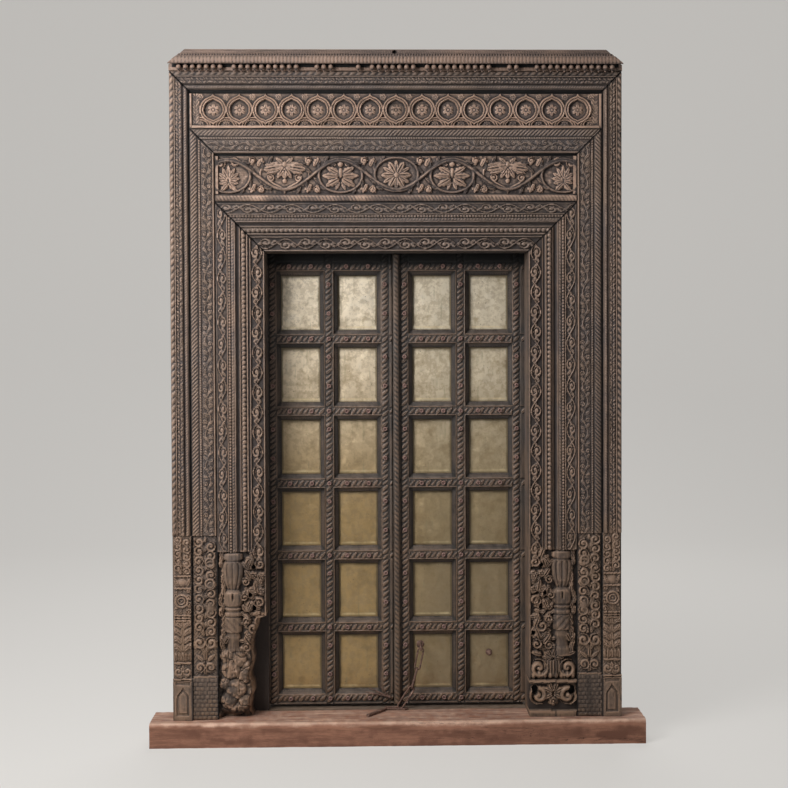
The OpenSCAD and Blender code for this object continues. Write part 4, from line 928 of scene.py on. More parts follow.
def grainy(tree, vector, scale, detail=4.0, rough=0.6, distort=0.0):
    """Cloudy noise at a scale, from about 0.3 to 0.7."""
    return shader_node(tree, "ShaderNodeTexNoise", {
        "Vector": vector, "Scale": scale, "Detail": detail, "Roughness": rough,
        "Distortion": distort}).outputs["Fac"]


def mesh_wear(tree):
    """The wear that a mesh carries at its points."""
    return shader_node(tree, "ShaderNodeAttribute", attribute_name="wear").outputs["Fac"]


def new_group(name, inputs, outputs):
    """Empty node group with named sockets. Returns it with its input and output nodes."""
    group = bpy.data.node_groups.new(name, "ShaderNodeTree")
    for key, kind, value in inputs:
        socket = group.interface.new_socket(key, in_out="INPUT", socket_type=kind)
        if value is not None:
            socket.default_value = value
    for key, kind in outputs:
        group.interface.new_socket(key, in_out="OUTPUT", socket_type=kind)
    return group, group.nodes.new("NodeGroupInput"), group.nodes.new("NodeGroupOutput")


def edge_wear_group():
    """Masks of rubbed ridges, of dirt and painted shade in the hollows and of near black
    painted shade in gaps and deep recesses: the wear of the mesh, pushed up and down by two
    sizes of noise, then cut with an S-curve."""
    group, given, result = new_group(
        "edge_wear",
        [("Wear", "NodeSocketFloat", 0.0), ("Vector", "NodeSocketVector", None),
         ("Rubbing", "NodeSocketFloat", 0.5), ("Patchiness", "NodeSocketFloat", 0.4)],
        [("Ridge", "NodeSocketFloat"), ("HollowDirtShade", "NodeSocketFloat"),
         ("Gap", "NodeSocketFloat")])
    broad = grainy(group, given.outputs["Vector"], 9.0)
    fine = grainy(group, given.outputs["Vector"], 260.0, 2.0)
    patches = arithmetic(group, "SUBTRACT", broad, 0.5)
    patches = arithmetic(group, "MULTIPLY", patches, given.outputs["Patchiness"])
    specks = arithmetic(group, "MULTIPLY", arithmetic(group, "SUBTRACT", fine, 0.5), 0.35)
    level = arithmetic(group, "ADD", given.outputs["Wear"], patches)
    level = arithmetic(group, "ADD", level, specks)
    rubbed = arithmetic(group, "MULTIPLY", level, given.outputs["Rubbing"])
    ridge = span(group, rubbed, 0.04, 0.5)
    # Hollows: dirt and painted shade.
    hollow = span(group, level, -0.03, -0.55)
    # Gaps and deep recesses: painted shade, near black.
    gap = span(group, level, -1.0, -1.7)
    group.links.new(ridge, result.inputs["Ridge"])
    group.links.new(hollow, result.inputs["HollowDirtShade"])
    group.links.new(gap, result.inputs["Gap"])
    return group


def wood_grain_group():
    """Grain and checks of old wood: noise drawn out along the grain by the vector given,
    once broad and once fine, and thin dark cracks where the broad noise crosses 0.5."""
    group, given, result = new_group(
        "wood_grain",
        [("Vector", "NodeSocketVector", None)],
        [("Streaks", "NodeSocketFloat"), ("Cracks", "NodeSocketFloat"),
         ("Height", "NodeSocketFloat")])
    broad = grainy(group, given.outputs["Vector"], 28.0, 5.0, 0.65, 0.4)
    fine = grainy(group, given.outputs["Vector"], 170.0, 3.0, 0.7)
    near = arithmetic(group, "ABSOLUTE", arithmetic(group, "SUBTRACT", broad, 0.5), 0.0)
    cracks = span(group, near, 0.012, 0.0)
    broken = span(group, grainy(group, given.outputs["Vector"], 11.0), 0.52, 0.66)
    cracks = arithmetic(group, "MULTIPLY", cracks, broken)
    streaks = arithmetic(group, "ADD", arithmetic(group, "MULTIPLY", broad, 0.6),
                         arithmetic(group, "MULTIPLY", fine, 0.4))
    height = arithmetic(group, "SUBTRACT", streaks, cracks)
    group.links.new(streaks, result.inputs["Streaks"])
    group.links.new(cracks, result.inputs["Cracks"])
    group.links.new(height, result.inputs["Height"])
    return group


def resting_dust_group():
    """Mask of pale dust on faces that look up, broken by noise."""
    group, given, result = new_group(
        "resting_dust",
        [("Normal", "NodeSocketVector", None), ("Vector", "NodeSocketVector", None)],
        [("Dust", "NodeSocketFloat")])
    up = shader_node(group, "ShaderNodeSeparateXYZ", {"Vector": given.outputs["Normal"]})
    facing = span(group, up.outputs["Z"], 0.35, 0.95)
    patches = span(group, grainy(group, given.outputs["Vector"], 40.0), 0.3, 0.65)
    group.links.new(arithmetic(group, "MULTIPLY", facing, patches), result.inputs["Dust"])
    return group


EDGE_WEAR = edge_wear_group()
WOOD_GRAIN = wood_grain_group()
RESTING_DUST = resting_dust_group()


def new_material(name):
    """Empty material with a Principled shader and Object coordinates."""
    material = bpy.data.materials.new(name)
    material.use_nodes = True
    tree = material.node_tree
    tree.nodes.clear()
    shader = tree.nodes.new("ShaderNodeBsdfPrincipled")
    output = tree.nodes.new("ShaderNodeOutputMaterial")
    tree.links.new(shader.outputs["BSDF"], output.inputs["Surface"])
    place = tree.nodes.new("ShaderNodeTexCoord").outputs["Object"]
    return material, tree, shader, place


def use_group(tree, group, **inputs):
    """Places a shared node group and sets its inputs."""
    made = tree.nodes.new("ShaderNodeGroup")
    made.node_tree = group
    for key, value in inputs.items():
        if isinstance(value, bpy.types.NodeSocket):
            tree.links.new(value, made.inputs[key])
        else:
            made.inputs[key].default_value = value
    return made.outputs


GRAIN_STRETCH = {"x": (0.08, 1.0, 1.0), "z": (1.0, 1.0, 0.08)}

# Heights in metres between which wood gets warmer, the tint that it takes there, and the
# colour of dust
WARMER_FROM, WARMEST_AT = 1.3, 0.2
FLOOR_TINT = (1.05, 0.97, 0.86)
PALE_DUST = (0.42, 0.33, 0.27)


def timber(name, grain, ground, warm, hollow, ridge, rubbing, dust, rough=0.62,
           patchiness=0.5, bump=0.5, fineness=1.0):
    """Old wood: two ground colours in broad clouds, darker along the grain, nearly black in the
    hollows from dirt and painted shade, near black in gaps as painted shade, rubbed to a paler
    colour on the ridges, with dust where it looks up. It gets warmer towards the floor."""
    material, tree, shader, place = new_material(name)
    stretch = tuple(fineness * s for s in GRAIN_STRETCH[grain])
    drawn = shader_node(tree, "ShaderNodeMapping", {"Vector": place, "Scale": stretch})
    rise = shader_node(tree, "ShaderNodeSeparateXYZ", {"Vector": place}).outputs["Z"]
    near_floor = span(tree, rise, WARMER_FROM, WARMEST_AT)
    grain_out = use_group(tree, WOOD_GRAIN, Vector=drawn.outputs["Vector"])
    wear = mesh_wear(tree)
    worn = use_group(tree, EDGE_WEAR, Wear=wear, Vector=place, Rubbing=rubbing,
                     Patchiness=patchiness)
    clouds = span(tree, grainy(tree, place, 5.5, 4.0), 0.38, 0.62)
    clouds = arithmetic(tree, "ADD", clouds, arithmetic(tree, "MULTIPLY", near_floor, 0.4))
    colour = colour_mix(tree, clouds, ground, warm)
    streaks = span(tree, grain_out["Streaks"], 0.62, 0.38, 0.0, 0.75)
    colour = colour_mix(tree, streaks, colour, hollow)
    # Nearly black in the hollows: dirt and painted shade.
    colour = colour_mix(tree, worn["HollowDirtShade"], colour, hollow)
    tint = colour_mix(tree, span(tree, grainy(tree, place, 16.0), 0.42, 0.6), ridge,
                      tuple(0.5 * (a + b) for a, b in zip(ridge, warm)))
    colour = colour_mix(tree, worn["Ridge"], colour, tint)
    # Near black in gaps and deep recesses: painted shade.
    colour = colour_mix(tree, worn["Gap"], colour, tuple(0.12 * c for c in hollow))
    colour = colour_mix(tree, near_floor, colour, FLOOR_TINT, "MULTIPLY")
    colour = colour_mix(tree, grain_out["Cracks"], colour, tuple(0.3 * c for c in hollow))
    normal = shader_node(tree, "ShaderNodeNewGeometry").outputs["Normal"]
    dusty = use_group(tree, RESTING_DUST, Normal=normal, Vector=place)["Dust"]
    dusty = arithmetic(tree, "MULTIPLY", dusty, dust)
    colour = colour_mix(tree, dusty, colour, PALE_DUST)
    tree.links.new(colour, shader.inputs["Base Color"])
    polish = span(tree, worn["Ridge"], 0.0, 1.0, rough + 0.14, rough - 0.1)
    tree.links.new(polish, shader.inputs["Roughness"])
    shader.inputs["Specular IOR Level"].default_value = 0.45
    relief = shader_node(tree, "ShaderNodeBump", {"Height": grain_out["Height"],
                                                  "Strength": bump, "Distance": 0.0012})
    pores = shader_node(tree, "ShaderNodeBump", {
        "Height": grainy(tree, place, 420.0, 3.0, 0.7), "Strength": bump * 0.7,
        "Distance": 0.0006, "Normal": relief.outputs["Normal"]})
    tree.links.new(pores.outputs["Normal"], shader.inputs["Normal"])
    return material


BRASS_TONES = {
    "cream": (1.0, 0.87, 0.67), "gold": (0.47, 0.32, 0.145), "right_side_shade": (0.40, 0.37, 0.27),
    "corner": (0.26, 0.20, 0.13), "pale": (0.66, 0.60, 0.50), "brown": (0.30, 0.21, 0.10),
    "mottle": (0.34, 0.25, 0.14), "streak": (0.3, 0.26, 0.15), "pit": (0.15, 0.10, 0.06),
    "rubbed": (0.88, 0.72, 0.42), "grime_and_shade": (0.16, 0.115, 0.06)}


def old_brass():
    """Aged sheet brass: cream at the top of the door and brown gold at the bottom, partly its
    own colour and partly a painted reflection of bright light at the top, greyer and darker on
    the right and at the lower right, partly its own colour and partly painted shade, with brown
    and pale clouds, dark pits, faint upright streaks, painted highlights along the panels'
    bottom edges, and grime at the edges with painted shade under the panels' tops."""
    tones = BRASS_TONES
    material, tree, shader, place = new_material("aged_brass")
    parts = shader_node(tree, "ShaderNodeSeparateXYZ", {"Vector": place})
    # Cream towards the top: partly the brass's own colour, partly a painted reflection of
    # bright light.
    height = span(tree, parts.outputs["Z"], 1.72, 0.72)
    base = colour_mix(tree, height, tones["cream"], tones["gold"])
    # Greyer and darker on the right and at the lower right: partly the brass's own colour,
    # partly painted shade.
    side = span(tree, parts.outputs["X"], -0.1, 0.2)
    base = colour_mix(tree, arithmetic(tree, "MULTIPLY", side, 0.35), base, tones["right_side_shade"])
    low = span(tree, parts.outputs["Z"], 0.95, 0.4, 0, 0.5)
    corner = arithmetic(tree, "MULTIPLY", side, low)
    base = colour_mix(tree, corner, base, tones["corner"])
    clouds = grainy(tree, place, 14.0, 5.0, 0.65)
    # Paler clouds towards the top: part of the same painted reflection.
    paler = arithmetic(tree, "MULTIPLY", span(tree, clouds, 0.5, 0.72), span(
        tree, parts.outputs["Z"], 1.0, 1.9, 0.06, 0.7))
    base = colour_mix(tree, paler, base, tones["pale"])
    base = colour_mix(tree, span(tree, clouds, 0.5, 0.32, 0.0, 0.5), base, tones["brown"])
    mottled = span(tree, grainy(tree, place, 52.0, 4.0, 0.7), 0.44, 0.6, 0.0, 0.42)
    base = colour_mix(tree, mottled, base, tones["mottle"])
    drawn = shader_node(tree, "ShaderNodeMapping", {"Vector": place, "Scale": (1.0, 1.0, 0.12)})
    streaks = grainy(tree, drawn.outputs["Vector"], 90.0, 3.0)
    base = colour_mix(tree, span(tree, streaks, 0.58, 0.75, 0.0, 0.45), base, tones["streak"])
    pits = shader_node(tree, "ShaderNodeTexVoronoi", {"Vector": place, "Scale": 75.0})
    spots = span(tree, pits.outputs["Distance"], 0.2, 0.05, 0.0, 0.8)
    patches = span(tree, grainy(tree, place, 22.0), 0.5, 0.64)
    spots = arithmetic(tree, "MULTIPLY", spots, patches)
    base = colour_mix(tree, spots, base, tones["pit"])
    wear = mesh_wear(tree)
    level = arithmetic(tree, "ADD", wear, arithmetic(
        tree, "MULTIPLY", arithmetic(tree, "SUBTRACT", clouds, 0.5), 1.2))
    # Grime at the rims, and painted shade under each panel's top edge.
    grime_and_shade = span(tree, level, -0.05, -0.8, 0.0, 0.9)
    # Painted highlight along each panel's bottom edge.
    base = colour_mix(tree, span(tree, level, 0.2, 0.8, 0.0, 0.75), base, tones["rubbed"])
    base = colour_mix(tree, grime_and_shade, base, tones["grime_and_shade"])
    tree.links.new(base, shader.inputs["Base Color"])
    dull = span(tree, parts.outputs["Z"], 0.6, 1.7, 0.7, 0.25)
    shine = arithmetic(tree, "SUBTRACT", dull, arithmetic(tree, "MULTIPLY", grime_and_shade, 0.4))
    shine = arithmetic(tree, "SUBTRACT", shine, arithmetic(tree, "MULTIPLY", spots, 0.4))
    tree.links.new(shine, shader.inputs["Metallic"])
    rough = span(tree, grainy(tree, place, 60.0, 3.0), 0.35, 0.7, 0.38, 0.58)
    tree.links.new(rough, shader.inputs["Roughness"])
    beaten = grainy(tree, place, 26.0, 2.0)
    relief = shader_node(tree, "ShaderNodeBump", {"Height": beaten, "Strength": 0.35,
                                                  "Distance": 0.004})
    scratched = shader_node(tree, "ShaderNodeBump", {
        "Height": streaks, "Strength": 0.15, "Distance": 0.0005,
        "Normal": relief.outputs["Normal"]})
    tree.links.new(scratched.outputs["Normal"], shader.inputs["Normal"])
    return material


def old_iron(name, dark, rust, rubbed, metal):
    """Forged iron: dark scale under brown rust, rubbed brighter in patches."""
    material, tree, shader, place = new_material(name)
    clouds = grainy(tree, place, 130.0, 5.0, 0.7)
    colour = colour_mix(tree, span(tree, clouds, 0.36, 0.6), dark, rust)
    wear = mesh_wear(tree)
    bright = span(tree, arithmetic(tree, "ADD", wear, grainy(tree, place, 60.0)), 0.52, 0.72)
    colour = colour_mix(tree, bright, colour, rubbed)
    tree.links.new(colour, shader.inputs["Base Color"])
    metallic = span(tree, bright, 0.0, 1.0, 0.35, metal)
    tree.links.new(metallic, shader.inputs["Metallic"])
    tree.links.new(span(tree, clouds, 0.3, 0.7, 0.5, 0.8), shader.inputs["Roughness"])
    relief = shader_node(tree, "ShaderNodeBump", {
        "Height": grainy(tree, place, 300.0, 4.0, 0.7), "Strength": 0.6, "Distance": 0.0008})
    tree.links.new(relief.outputs["Normal"], shader.inputs["Normal"])
    return material


BLUE_BROWN = (0.125, 0.102, 0.096)
WARM_BROWN = (0.205, 0.14, 0.10)
# Darkest colours, of the frame and of the leaves: for grain and cracks, and for the dirt and
# painted shade in hollows and gaps.
NEAR_BLACK = (0.040, 0.030, 0.027)
LEAF_DARKEST = (0.02, 0.016, 0.014)
PINK_TAN = (0.42, 0.275, 0.20)
PLAIN_BROWNS = ((0.15, 0.11, 0.085), (0.20, 0.145, 0.105), (0.06, 0.042, 0.032),
                (0.3, 0.22, 0.16))

UPRIGHT_WOOD = timber("jamb_wood", "z", BLUE_BROWN, WARM_BROWN, NEAR_BLACK,
                      (0.31, 0.21, 0.155), 0.75, 0.15)
LINTEL_WOOD = timber("lintel_wood", "x", (0.103, 0.085, 0.08), (0.157, 0.113, 0.086),
                     NEAR_BLACK, (0.235, 0.165, 0.128), 0.7, 0.15)
FRIEZE_WOOD = timber("frieze_wood", "x", (0.15, 0.11, 0.095), (0.24, 0.16, 0.115),
                     NEAR_BLACK, PINK_TAN, 1.0, 0.12)
CROWN_WOOD = timber("crown_wood", "x", (0.135, 0.095, 0.08), (0.21, 0.14, 0.105),
                    NEAR_BLACK, (0.27, 0.175, 0.128), 0.65, 0.12)
LEAF_WOOD = timber("leaf_wood", "z", (0.072, 0.06, 0.053), (0.12, 0.083, 0.061),
                   LEAF_DARKEST, (0.20, 0.132, 0.093), 0.6, 0.15, rough=0.55)
RAIL_WOOD = timber("rail_wood", "x", (0.073, 0.06, 0.053), (0.125, 0.085, 0.062),
                   LEAF_DARKEST, (0.22, 0.145, 0.104), 0.7, 0.3, rough=0.55)
HIDDEN_WOOD = timber("hidden_wood", "z", *PLAIN_BROWNS, 0.4, 0.2)
HIDDEN_BEAM = timber("hidden_beam", "x", *PLAIN_BROWNS, 0.4, 0.2)
THRESHOLD_WOOD = timber("threshold_wood", "x", (0.39, 0.20, 0.14), (0.34, 0.175, 0.125),
                        (0.16, 0.075, 0.052), (0.68, 0.47, 0.38), 0.6, 0.3, rough=0.72,
                        patchiness=0.15, fineness=1.8)
BRASS = old_brass()
IRON = old_iron("rusted_iron", (0.075, 0.048, 0.04), (0.23, 0.13, 0.095),
                (0.43, 0.28, 0.22), 0.45)
STUD_IRON = old_iron("stud_iron", (0.08, 0.045, 0.038), (0.20, 0.115, 0.095),
                     (0.31, 0.195, 0.165), 0.45)


# Pieces of the frame

# Steps of the grids along and across a member, and how deep its mitred ends are cut
STEP_ALONG = 3.0
STEP_ACROSS = 3.1
MITRE_GAP = 8


def member_grid(node, upright, mitres, rows):
    """Grid over a member: rows are its places across, and its columns run along it. At a
    mitred end, a row starts as far along as it lies across."""
    low, high = box_mm(node)
    length = high[2] - low[2] if upright else high[0] - low[0]
    columns = max(2, round(length / STEP_ALONG))
    share = np.linspace(0, 1, columns)[:, None]
    w = np.broadcast_to(rows[None, :], (columns, len(rows)))
    start = w * mitres[0]
    end = length - w * mitres[1]
    return Relief(start + share * (end - start), w.copy(), np.zeros_like(w)), low, high, length


def placed_solid(relief, low, high, side):
    """Turns u, w and h into the part's frame. side is left or right for a jamb, whose w
    runs inwards, and over for a lintel, whose w runs down."""
    points, quads, caps = closed_slab(relief.u, relief.w, relief.h)
    u, w, h = points.T
    if side == "over":
        x, z = low[0] + u, high[2] - w
    else:
        x = low[0] + w if side == "left" else high[0] - w
        z = high[2] - u
    return np.stack([x, high[1] - h, z], -1), quads, caps


def aged(relief, seed):
    """Slow swells of the surface, as on wood worked by hand: two sizes of random field."""
    u, w = relief.u, relief.w
    swell = 0.7 * drift(u, w, 55, seed) + 0.5 * drift(u, w, 9, seed + 1)
    relief.h = relief.h + swell - 0.8


def surround(name, section, bands, foot, materials, floor, tone, foot_tone):
    """The two jambs and the lintel of one surround. The materials are those of the jambs and of
    the lintel, wear gets darker below floor as painted shade in deep recesses, and tone and
    foot_tone are added to the wear of the jambs and of their feet."""
    rows = rows_of(section, STEP_ACROSS)
    for side, upright in (("left", True), ("right", True), ("over", False)):
        node = f"{name}_jamb_{side}" if upright else f"{name}_lintel"
        relief, low, high, length = member_grid(node, upright, (1, 0 if upright else 1), rows)
        if node == "inner_jamb_left":
            relief.w = around_loss(relief, length, high[0] - low[0])
        relief.h = on_section(section, relief.w)
        bands(relief)
        if upright:
            foot(relief, length - relief.u, length)
        if node == "inner_jamb_left":
            erode(relief, length - relief.u, high[0] - low[0])
        aged(relief, JAMB_SEED + len(node))
        relief.h = np.clip(relief.h, THINNEST, high[1] - low[1])
        wear = wear_of(relief.h, floor)
        if upright:
            at_foot = s_curve(length - relief.u, OUTER_FOOT + 45, OUTER_FOOT - 15)
            wear = wear * (1 - 0.4 * at_foot) + tone + (foot_tone - tone) * at_foot
        wear = wear + relief.tone
        # Painted shade, near black, in the mitre gaps.
        for end in (0,) if upright else (0, -1):
            relief.h[end] -= MITRE_GAP
            wear[end] = -2
            wear[end + 1 if end == 0 else end - 1] -= 1
        add_piece(f"{node}_carved", placed_solid(relief, low, high, side), "frame",
                  materials[0 if upright else 1], [node], wear.ravel())


def around_loss(relief, length, width):
    """Moves the rows near the opening so that two of them follow the ragged edge of the
    lost wood closely, one on each side of it."""
    v = length - relief.u
    edge = np.minimum(lost_edge(v, width), width + 4)
    start, middle = width - 80, width - 40
    w = relief.w
    moving = start + (w - start) * (edge - start) / (middle - start)
    beyond = edge + 0.6 + (w - middle) * (width - edge - 0.6) / (width - middle)
    moved = np.where(w < start, w, np.where(w <= middle, moving, beyond))
    lost = (v < LOSS_TOP) & (edge < width - 1)
    return np.where(lost, moved, w)


# Worn lumps left at the bottom of the left inner jamb: height above the threshold, place
# across, radius and rise
LUMPS = [(206, 70, 28, 15), (214, 30, 26, 14), (172, 44, 34, 19), (150, 88, 28, 17),
         (104, 60, 36, 18), (62, 36, 30, 15), (56, 92, 26, 13), (120, 24, 22, 13),
         (30, 64, 26, 12), (182, 98, 18, 10)]


def erode(relief, v, width):
    """Wood lost beside the opening, down to a plain plank, and the foot left of it worn
    to lumps with cracks between them."""
    worn = s_curve(v, 262, 205)
    u, w = relief.u, relief.w
    ground, plank = 108, 24
    lumps = ground + 0 * v
    for height, across, size, rise in LUMPS:
        ball = dome(((v - height) ** 2 + (w - across) ** 2) / size ** 2) ** 0.8
        lumps = np.maximum(lumps, ground + (rise + 6) * ball * (ball > 0))
    rough = 4.5 * drift(u, w, 13, 34) + 2.5 * drift(u, w, 6, 35)
    cracks = np.abs(drift(u * 0.6, w * 1.5, 24, 36))
    lumps = lumps + rough - 9 * s_curve(cracks, 0.1, 0.0)
    relief.h = relief.h * (1 - worn) + (0.25 * blurred(relief.h, 2) + 0.75 * lumps) * worn
    bottom = s_curve(v, 34, 4) * s_curve(w, 0, 20)
    relief.h = relief.h - 26 * bottom
    edge = lost_edge(v, width)
    gone = w > edge + 0.2
    relief.h = np.where(gone, plank, relief.h)
    near = s_curve(edge - w, 12, 0) * (v < LOSS_TOP - 9) * ~gone
    relief.h = relief.h - 16 * near
    relief.tone = np.where(gone & (v < LOSS_TOP), 0.05, relief.tone)
    relief.tone = np.where((worn > 0.3) & ~gone, 0.2 + 0.4 * drift(u, w, 19, 38), relief.tone)


WOODS = (UPRIGHT_WOOD, LINTEL_WOOD)
surround("outer", OUTER_SECTION, outer_bands, outer_foot, WOODS, 131, 0.02, 0.12)
surround("middle", MIDDLE_SECTION, middle_bands, middle_foot, WOODS, 126, -0.16, -0.08)
surround("inner", INNER_SECTION, inner_bands, inner_foot, WOODS, 119, -0.05, -0.06)


def frieze(node, carving, step):
    """One carved board between two surrounds, on an even grid with about the given step."""
    low, high = box_mm(node)
    length, width = high[0] - low[0], high[2] - low[2]
    along = np.linspace(0, length, round(length / step))
    across = np.linspace(0, width, round(width / step))
    u, w = np.meshgrid(along, across, indexing="ij")
    relief = Relief(u, w, np.zeros_like(u))
    carving(relief, length, width)
    aged(relief, FRIEZE_SEED + len(node))
    relief.h = np.clip(relief.h, THINNEST, high[1] - low[1])
    wear = wear_of(relief.h) + relief.tone
    add_piece(f"{node}_carved", placed_solid(relief, low, high, "over"), "frame",
              FRIEZE_WOOD, [node], wear.ravel())


frieze("lattice_frieze", lattice_carving, 2.4)
frieze("scroll_frieze", scroll_carving, 2.5)


def crown():
    """Ledge over the outer lintel: a profile carried along it, each part of which is
    pushed forwards by its own ornament: strokes, flutes on the nose, a row of drilled
    beads and a fine rope. Its ends are cut back on a slant."""
    low, high = box_mm("crown_moulding")
    back, face = high[1], JAMB_FRONT
    lip, nose, bead_face, rope_face = face - 22, face - 28, face - 23, face - 16
    profile = [(back, 0, "plain"), (face, 0, "strokes"), (face, 13, "plain"),
               (face, 31, "plain"), (lip, 31, "plain"), (lip, 20, "plain"),
               (nose, 20, "flutes"), (nose, 44, "plain"), (bead_face, 47, "drilled"),
               (bead_face, 54, "plain"), (rope_face, 56, "rope"), (rope_face, 67, "plain"),
               (face - 12, 71, "plain"), (face + 40, 71, "plain"), (back, 63, "plain"),
               (back, 0, "plain")]
    places, kinds, shares = [], [], []
    for (y0, z0, kind), (y1, z1, _) in zip(profile, profile[1:]):
        size = math.hypot(y1 - y0, z1 - z0)
        parts = max(1, min(8, math.ceil(size / 2.6)))
        for k in range(parts):
            t = (k + 0.5) / parts if kind != "plain" else k / parts
            places.append((y0 + (y1 - y0) * t, z0 + (z1 - z0) * t))
            kinds.append(kind)
            shares.append(t)
    y, z = np.array(places).T
    shares = np.array(shares)[None, :]
    reach = (high[0] - low[0]) / 2
    slant, slant_from, slant_rise = 58, 21, 50
    end = np.where(z > slant_from, reach - slant * (z - slant_from) / slant_rise, reach)
    count = round(2 * reach / 2.7)
    t = np.linspace(-1, 1, count)[:, None]
    x = t * end[None, :]
    push = np.zeros_like(x)
    kinds = np.array(kinds)[None, :]
    flute = 2.4 * (np.abs(np.sin(np.pi * x / 12.4)) ** 0.6 - 1) + 1.5 * np.sin(np.pi * shares)
    push = np.where(kinds == "flutes", flute, push)
    dots = 3.4 * (dome(((x / 9.3 - np.round(x / 9.3)) * 9.3 / 3.6) ** 2) - 1)
    push = np.where(kinds == "drilled", dots, push)
    fine = 1.8 * (rope(x, shares, 0, 1, 8.1, 5) - 0.9)
    push = np.where(kinds == "rope", fine, push)
    strokes = 2.2 * rope(x, shares, 0, 1, 12, 8)
    push = np.where(kinds == "strokes", strokes, push)
    wobble = 0.6 * drift(x, z[None, :] + y[None, :], 45, 71)
    hole_x, hole_z = -5, 61
    hole = np.hypot(x - hole_x, z[None, :] - hole_z)
    hole = np.where((y[None, :] < face), s_curve(hole, 7.5, 5.5), 0)
    rings = np.stack([x, y[None, :] - push + wobble * (y[None, :] < face) + 14 * hole,
                      low[2] + z[None, :] + 0 * x], -1)
    # The hole darkens as painted shade.
    wear = np.clip((push + 0.9) / 2.4, -0.8, 0.7) - 1.6 * hole
    # Painted shade, near black, on the plain face behind the drops.
    shade_behind_drops = (y[None, :] > face - 23) & (z[None, :] < 31.5) & (z[None, :] > 12)
    wear = np.where(shade_behind_drops & (y[None, :] < face + 1) & (np.abs(x) < reach - 12), -2, wear)
    add_piece("crown_moulding_carved", closed_tube(rings), "frame",
              CROWN_WOOD, ["crown_moulding"], wear.ravel(), 50)


def turned(profile, around):
    """Closed loops of a turned shape about the z axis, one for each pair of radius and
    height of its profile."""
    angle = np.linspace(0, 2 * np.pi, around, endpoint=False)
    radius, height = np.array(profile, float).T
    return np.stack([radius[:, None] * np.cos(angle), radius[:, None] * np.sin(angle),
                     height[:, None] + 0 * angle], -1)


# Slots under the crown whose drop is lost, counted from the left, and their spacing
LOST_DROPS = (7, 18, 19, 23, 24, 25, 27, 35, 46, 47, 50, 51)
DROP_PITCH = 23.6


def pendants():
    """Turned drops under the crown: neck, ball and a small beaded tip. The slots of the
    lost ones stay empty."""
    low, high = box_mm("crown_pendants")
    radius = (high[1] - low[1]) / 2
    count = round((high[0] - low[0] - 2 * radius) / DROP_PITCH)
    first = low[0] + radius
    around = 14
    profile = [(0.5, -38), (2.2, -37.4), (3.4, -35.8), (3.1, -34.2), (1.9, -32.8), (1.7, -31.6),
               (4.8, -28.8), (7.8, -25), (8.6, -20.6), (7.9, -16.4), (5.2, -13.4), (3.4, -11),
               (3.4, -3), (5, -1.5), (5, 0)]
    points, quads, caps = closed_tube(turned(profile, around))
    # Rubbed paler on the tip and the ball; darker at the necks and under the crown as painted
    # shade.
    wear = np.repeat([0.7, 0.9, 0.8, 0.3, -0.8, -1, -0.3, 0.5, 0.75, 0.6, 0, -0.7, -0.8,
                      -0.8, -1], around)
    places = [(first + DROP_PITCH * k, (low[1] + high[1]) / 2, high[2])
              for k in range(count + 1) if k not in LOST_DROPS]
    shape = repeated(points, quads, caps, places)
    add_piece("crown_pendants_turned", shape, "frame", CROWN_WOOD,
              ["crown_pendants"], np.tile(wear, len(places)), 60)


# Knocks in the threshold's front edge: place along it, width and depth
NOTCHES = ((-660, 22, 9), (610, 34, 6), (120, 60, 5))


def threshold():
    """Front plank: its profile carried along, its top worn hollow in the doorway and its
    front edge rubbed round, with long shallow waves along the grain."""
    low, high = box_mm("threshold_plank")
    depth, tall = high[1] - low[1], high[2] - low[2]
    corner = [(depth, 0), (0, 0), (0, tall - 14), (1.2, tall - 7), (4, tall - 3),
              (9, tall - 0.8), (14, tall), (depth, tall)]
    places = []
    for (y0, z0), (y1, z1) in zip(corner, corner[1:] + corner[:1]):
        parts = max(1, min(24, math.ceil(math.hypot(y1 - y0, z1 - z0) / 6)))
        places += [(y0 + (y1 - y0) * k / parts, z0 + (z1 - z0) * k / parts)
                   for k in range(parts)]
    y, z = np.array(places).T[:, None, :]
    x = np.linspace(low[0], high[0], 420)[:, None]
    worn = 1.3 * drift(x * 0.25, z + 3 * y, 22, 91) + 0.7 * drift(x, z + y, 16, 92)
    top = s_curve(z, tall - 9, tall - 1)
    front = s_curve(y, 16, 0)
    deep = 2.2 * np.exp(-((x / 420) ** 2)) * top * s_curve(y, 60, 10)
    sink = top * (0.9 + worn) + deep
    notch = sum(sunk * np.exp(-(((x - at) / wide) ** 2)) for at, wide, sunk in NOTCHES)
    rounded = front * s_curve(z, tall - 30, tall)
    rings = np.stack([x + 0 * y, low[1] + y + front * (1.0 + worn) + rounded * notch * 0.6,
                      low[2] + z - np.maximum(sink, 0) - rounded * notch * 0.5], -1)
    stain = np.exp(-(((x - 733) / 40) ** 2) - ((z - 30) / 12) ** 2)
    wear = np.clip(rounded * 0.9 + 0.2 * worn - 0.2 + 0.5 * top - 1.2 * stain, -1, 1)
    add_piece("threshold_plank_worn", closed_tube(rings), "frame",
              THRESHOLD_WOOD, ["threshold_plank"], wear.ravel(), 50)


crown()
pendants()
threshold()


# Pieces of the leaves


def panel_spans(side):
    """The two spans across and the six spans up that the brass of a leaf fills."""
    boxes = [box_mm(f"{side}_brass_panel_{n}") for n in range(1, 2 * PANEL_ROWS + 1)]
    across = sorted({(round(low[0], 1), round(high[0], 1)) for low, high in boxes})
    upward = sorted({(round(low[2], 1), round(high[2], 1)) for low, high in boxes})
    return across, upward


def outside(value, spans):
    """Distance to the nearest of the spans, 0 inside one."""
    return np.min([np.maximum(np.maximum(a - value, value - b), 0) for a, b in spans], axis=0)


def from_nearest(value, lines):
    """Signed distance from the nearest of some lines."""
    away = value[..., None] - np.array(lines)
    nearest = np.abs(away).argmin(-1)[..., None]
    return np.take_along_axis(away, nearest, -1)[..., 0]


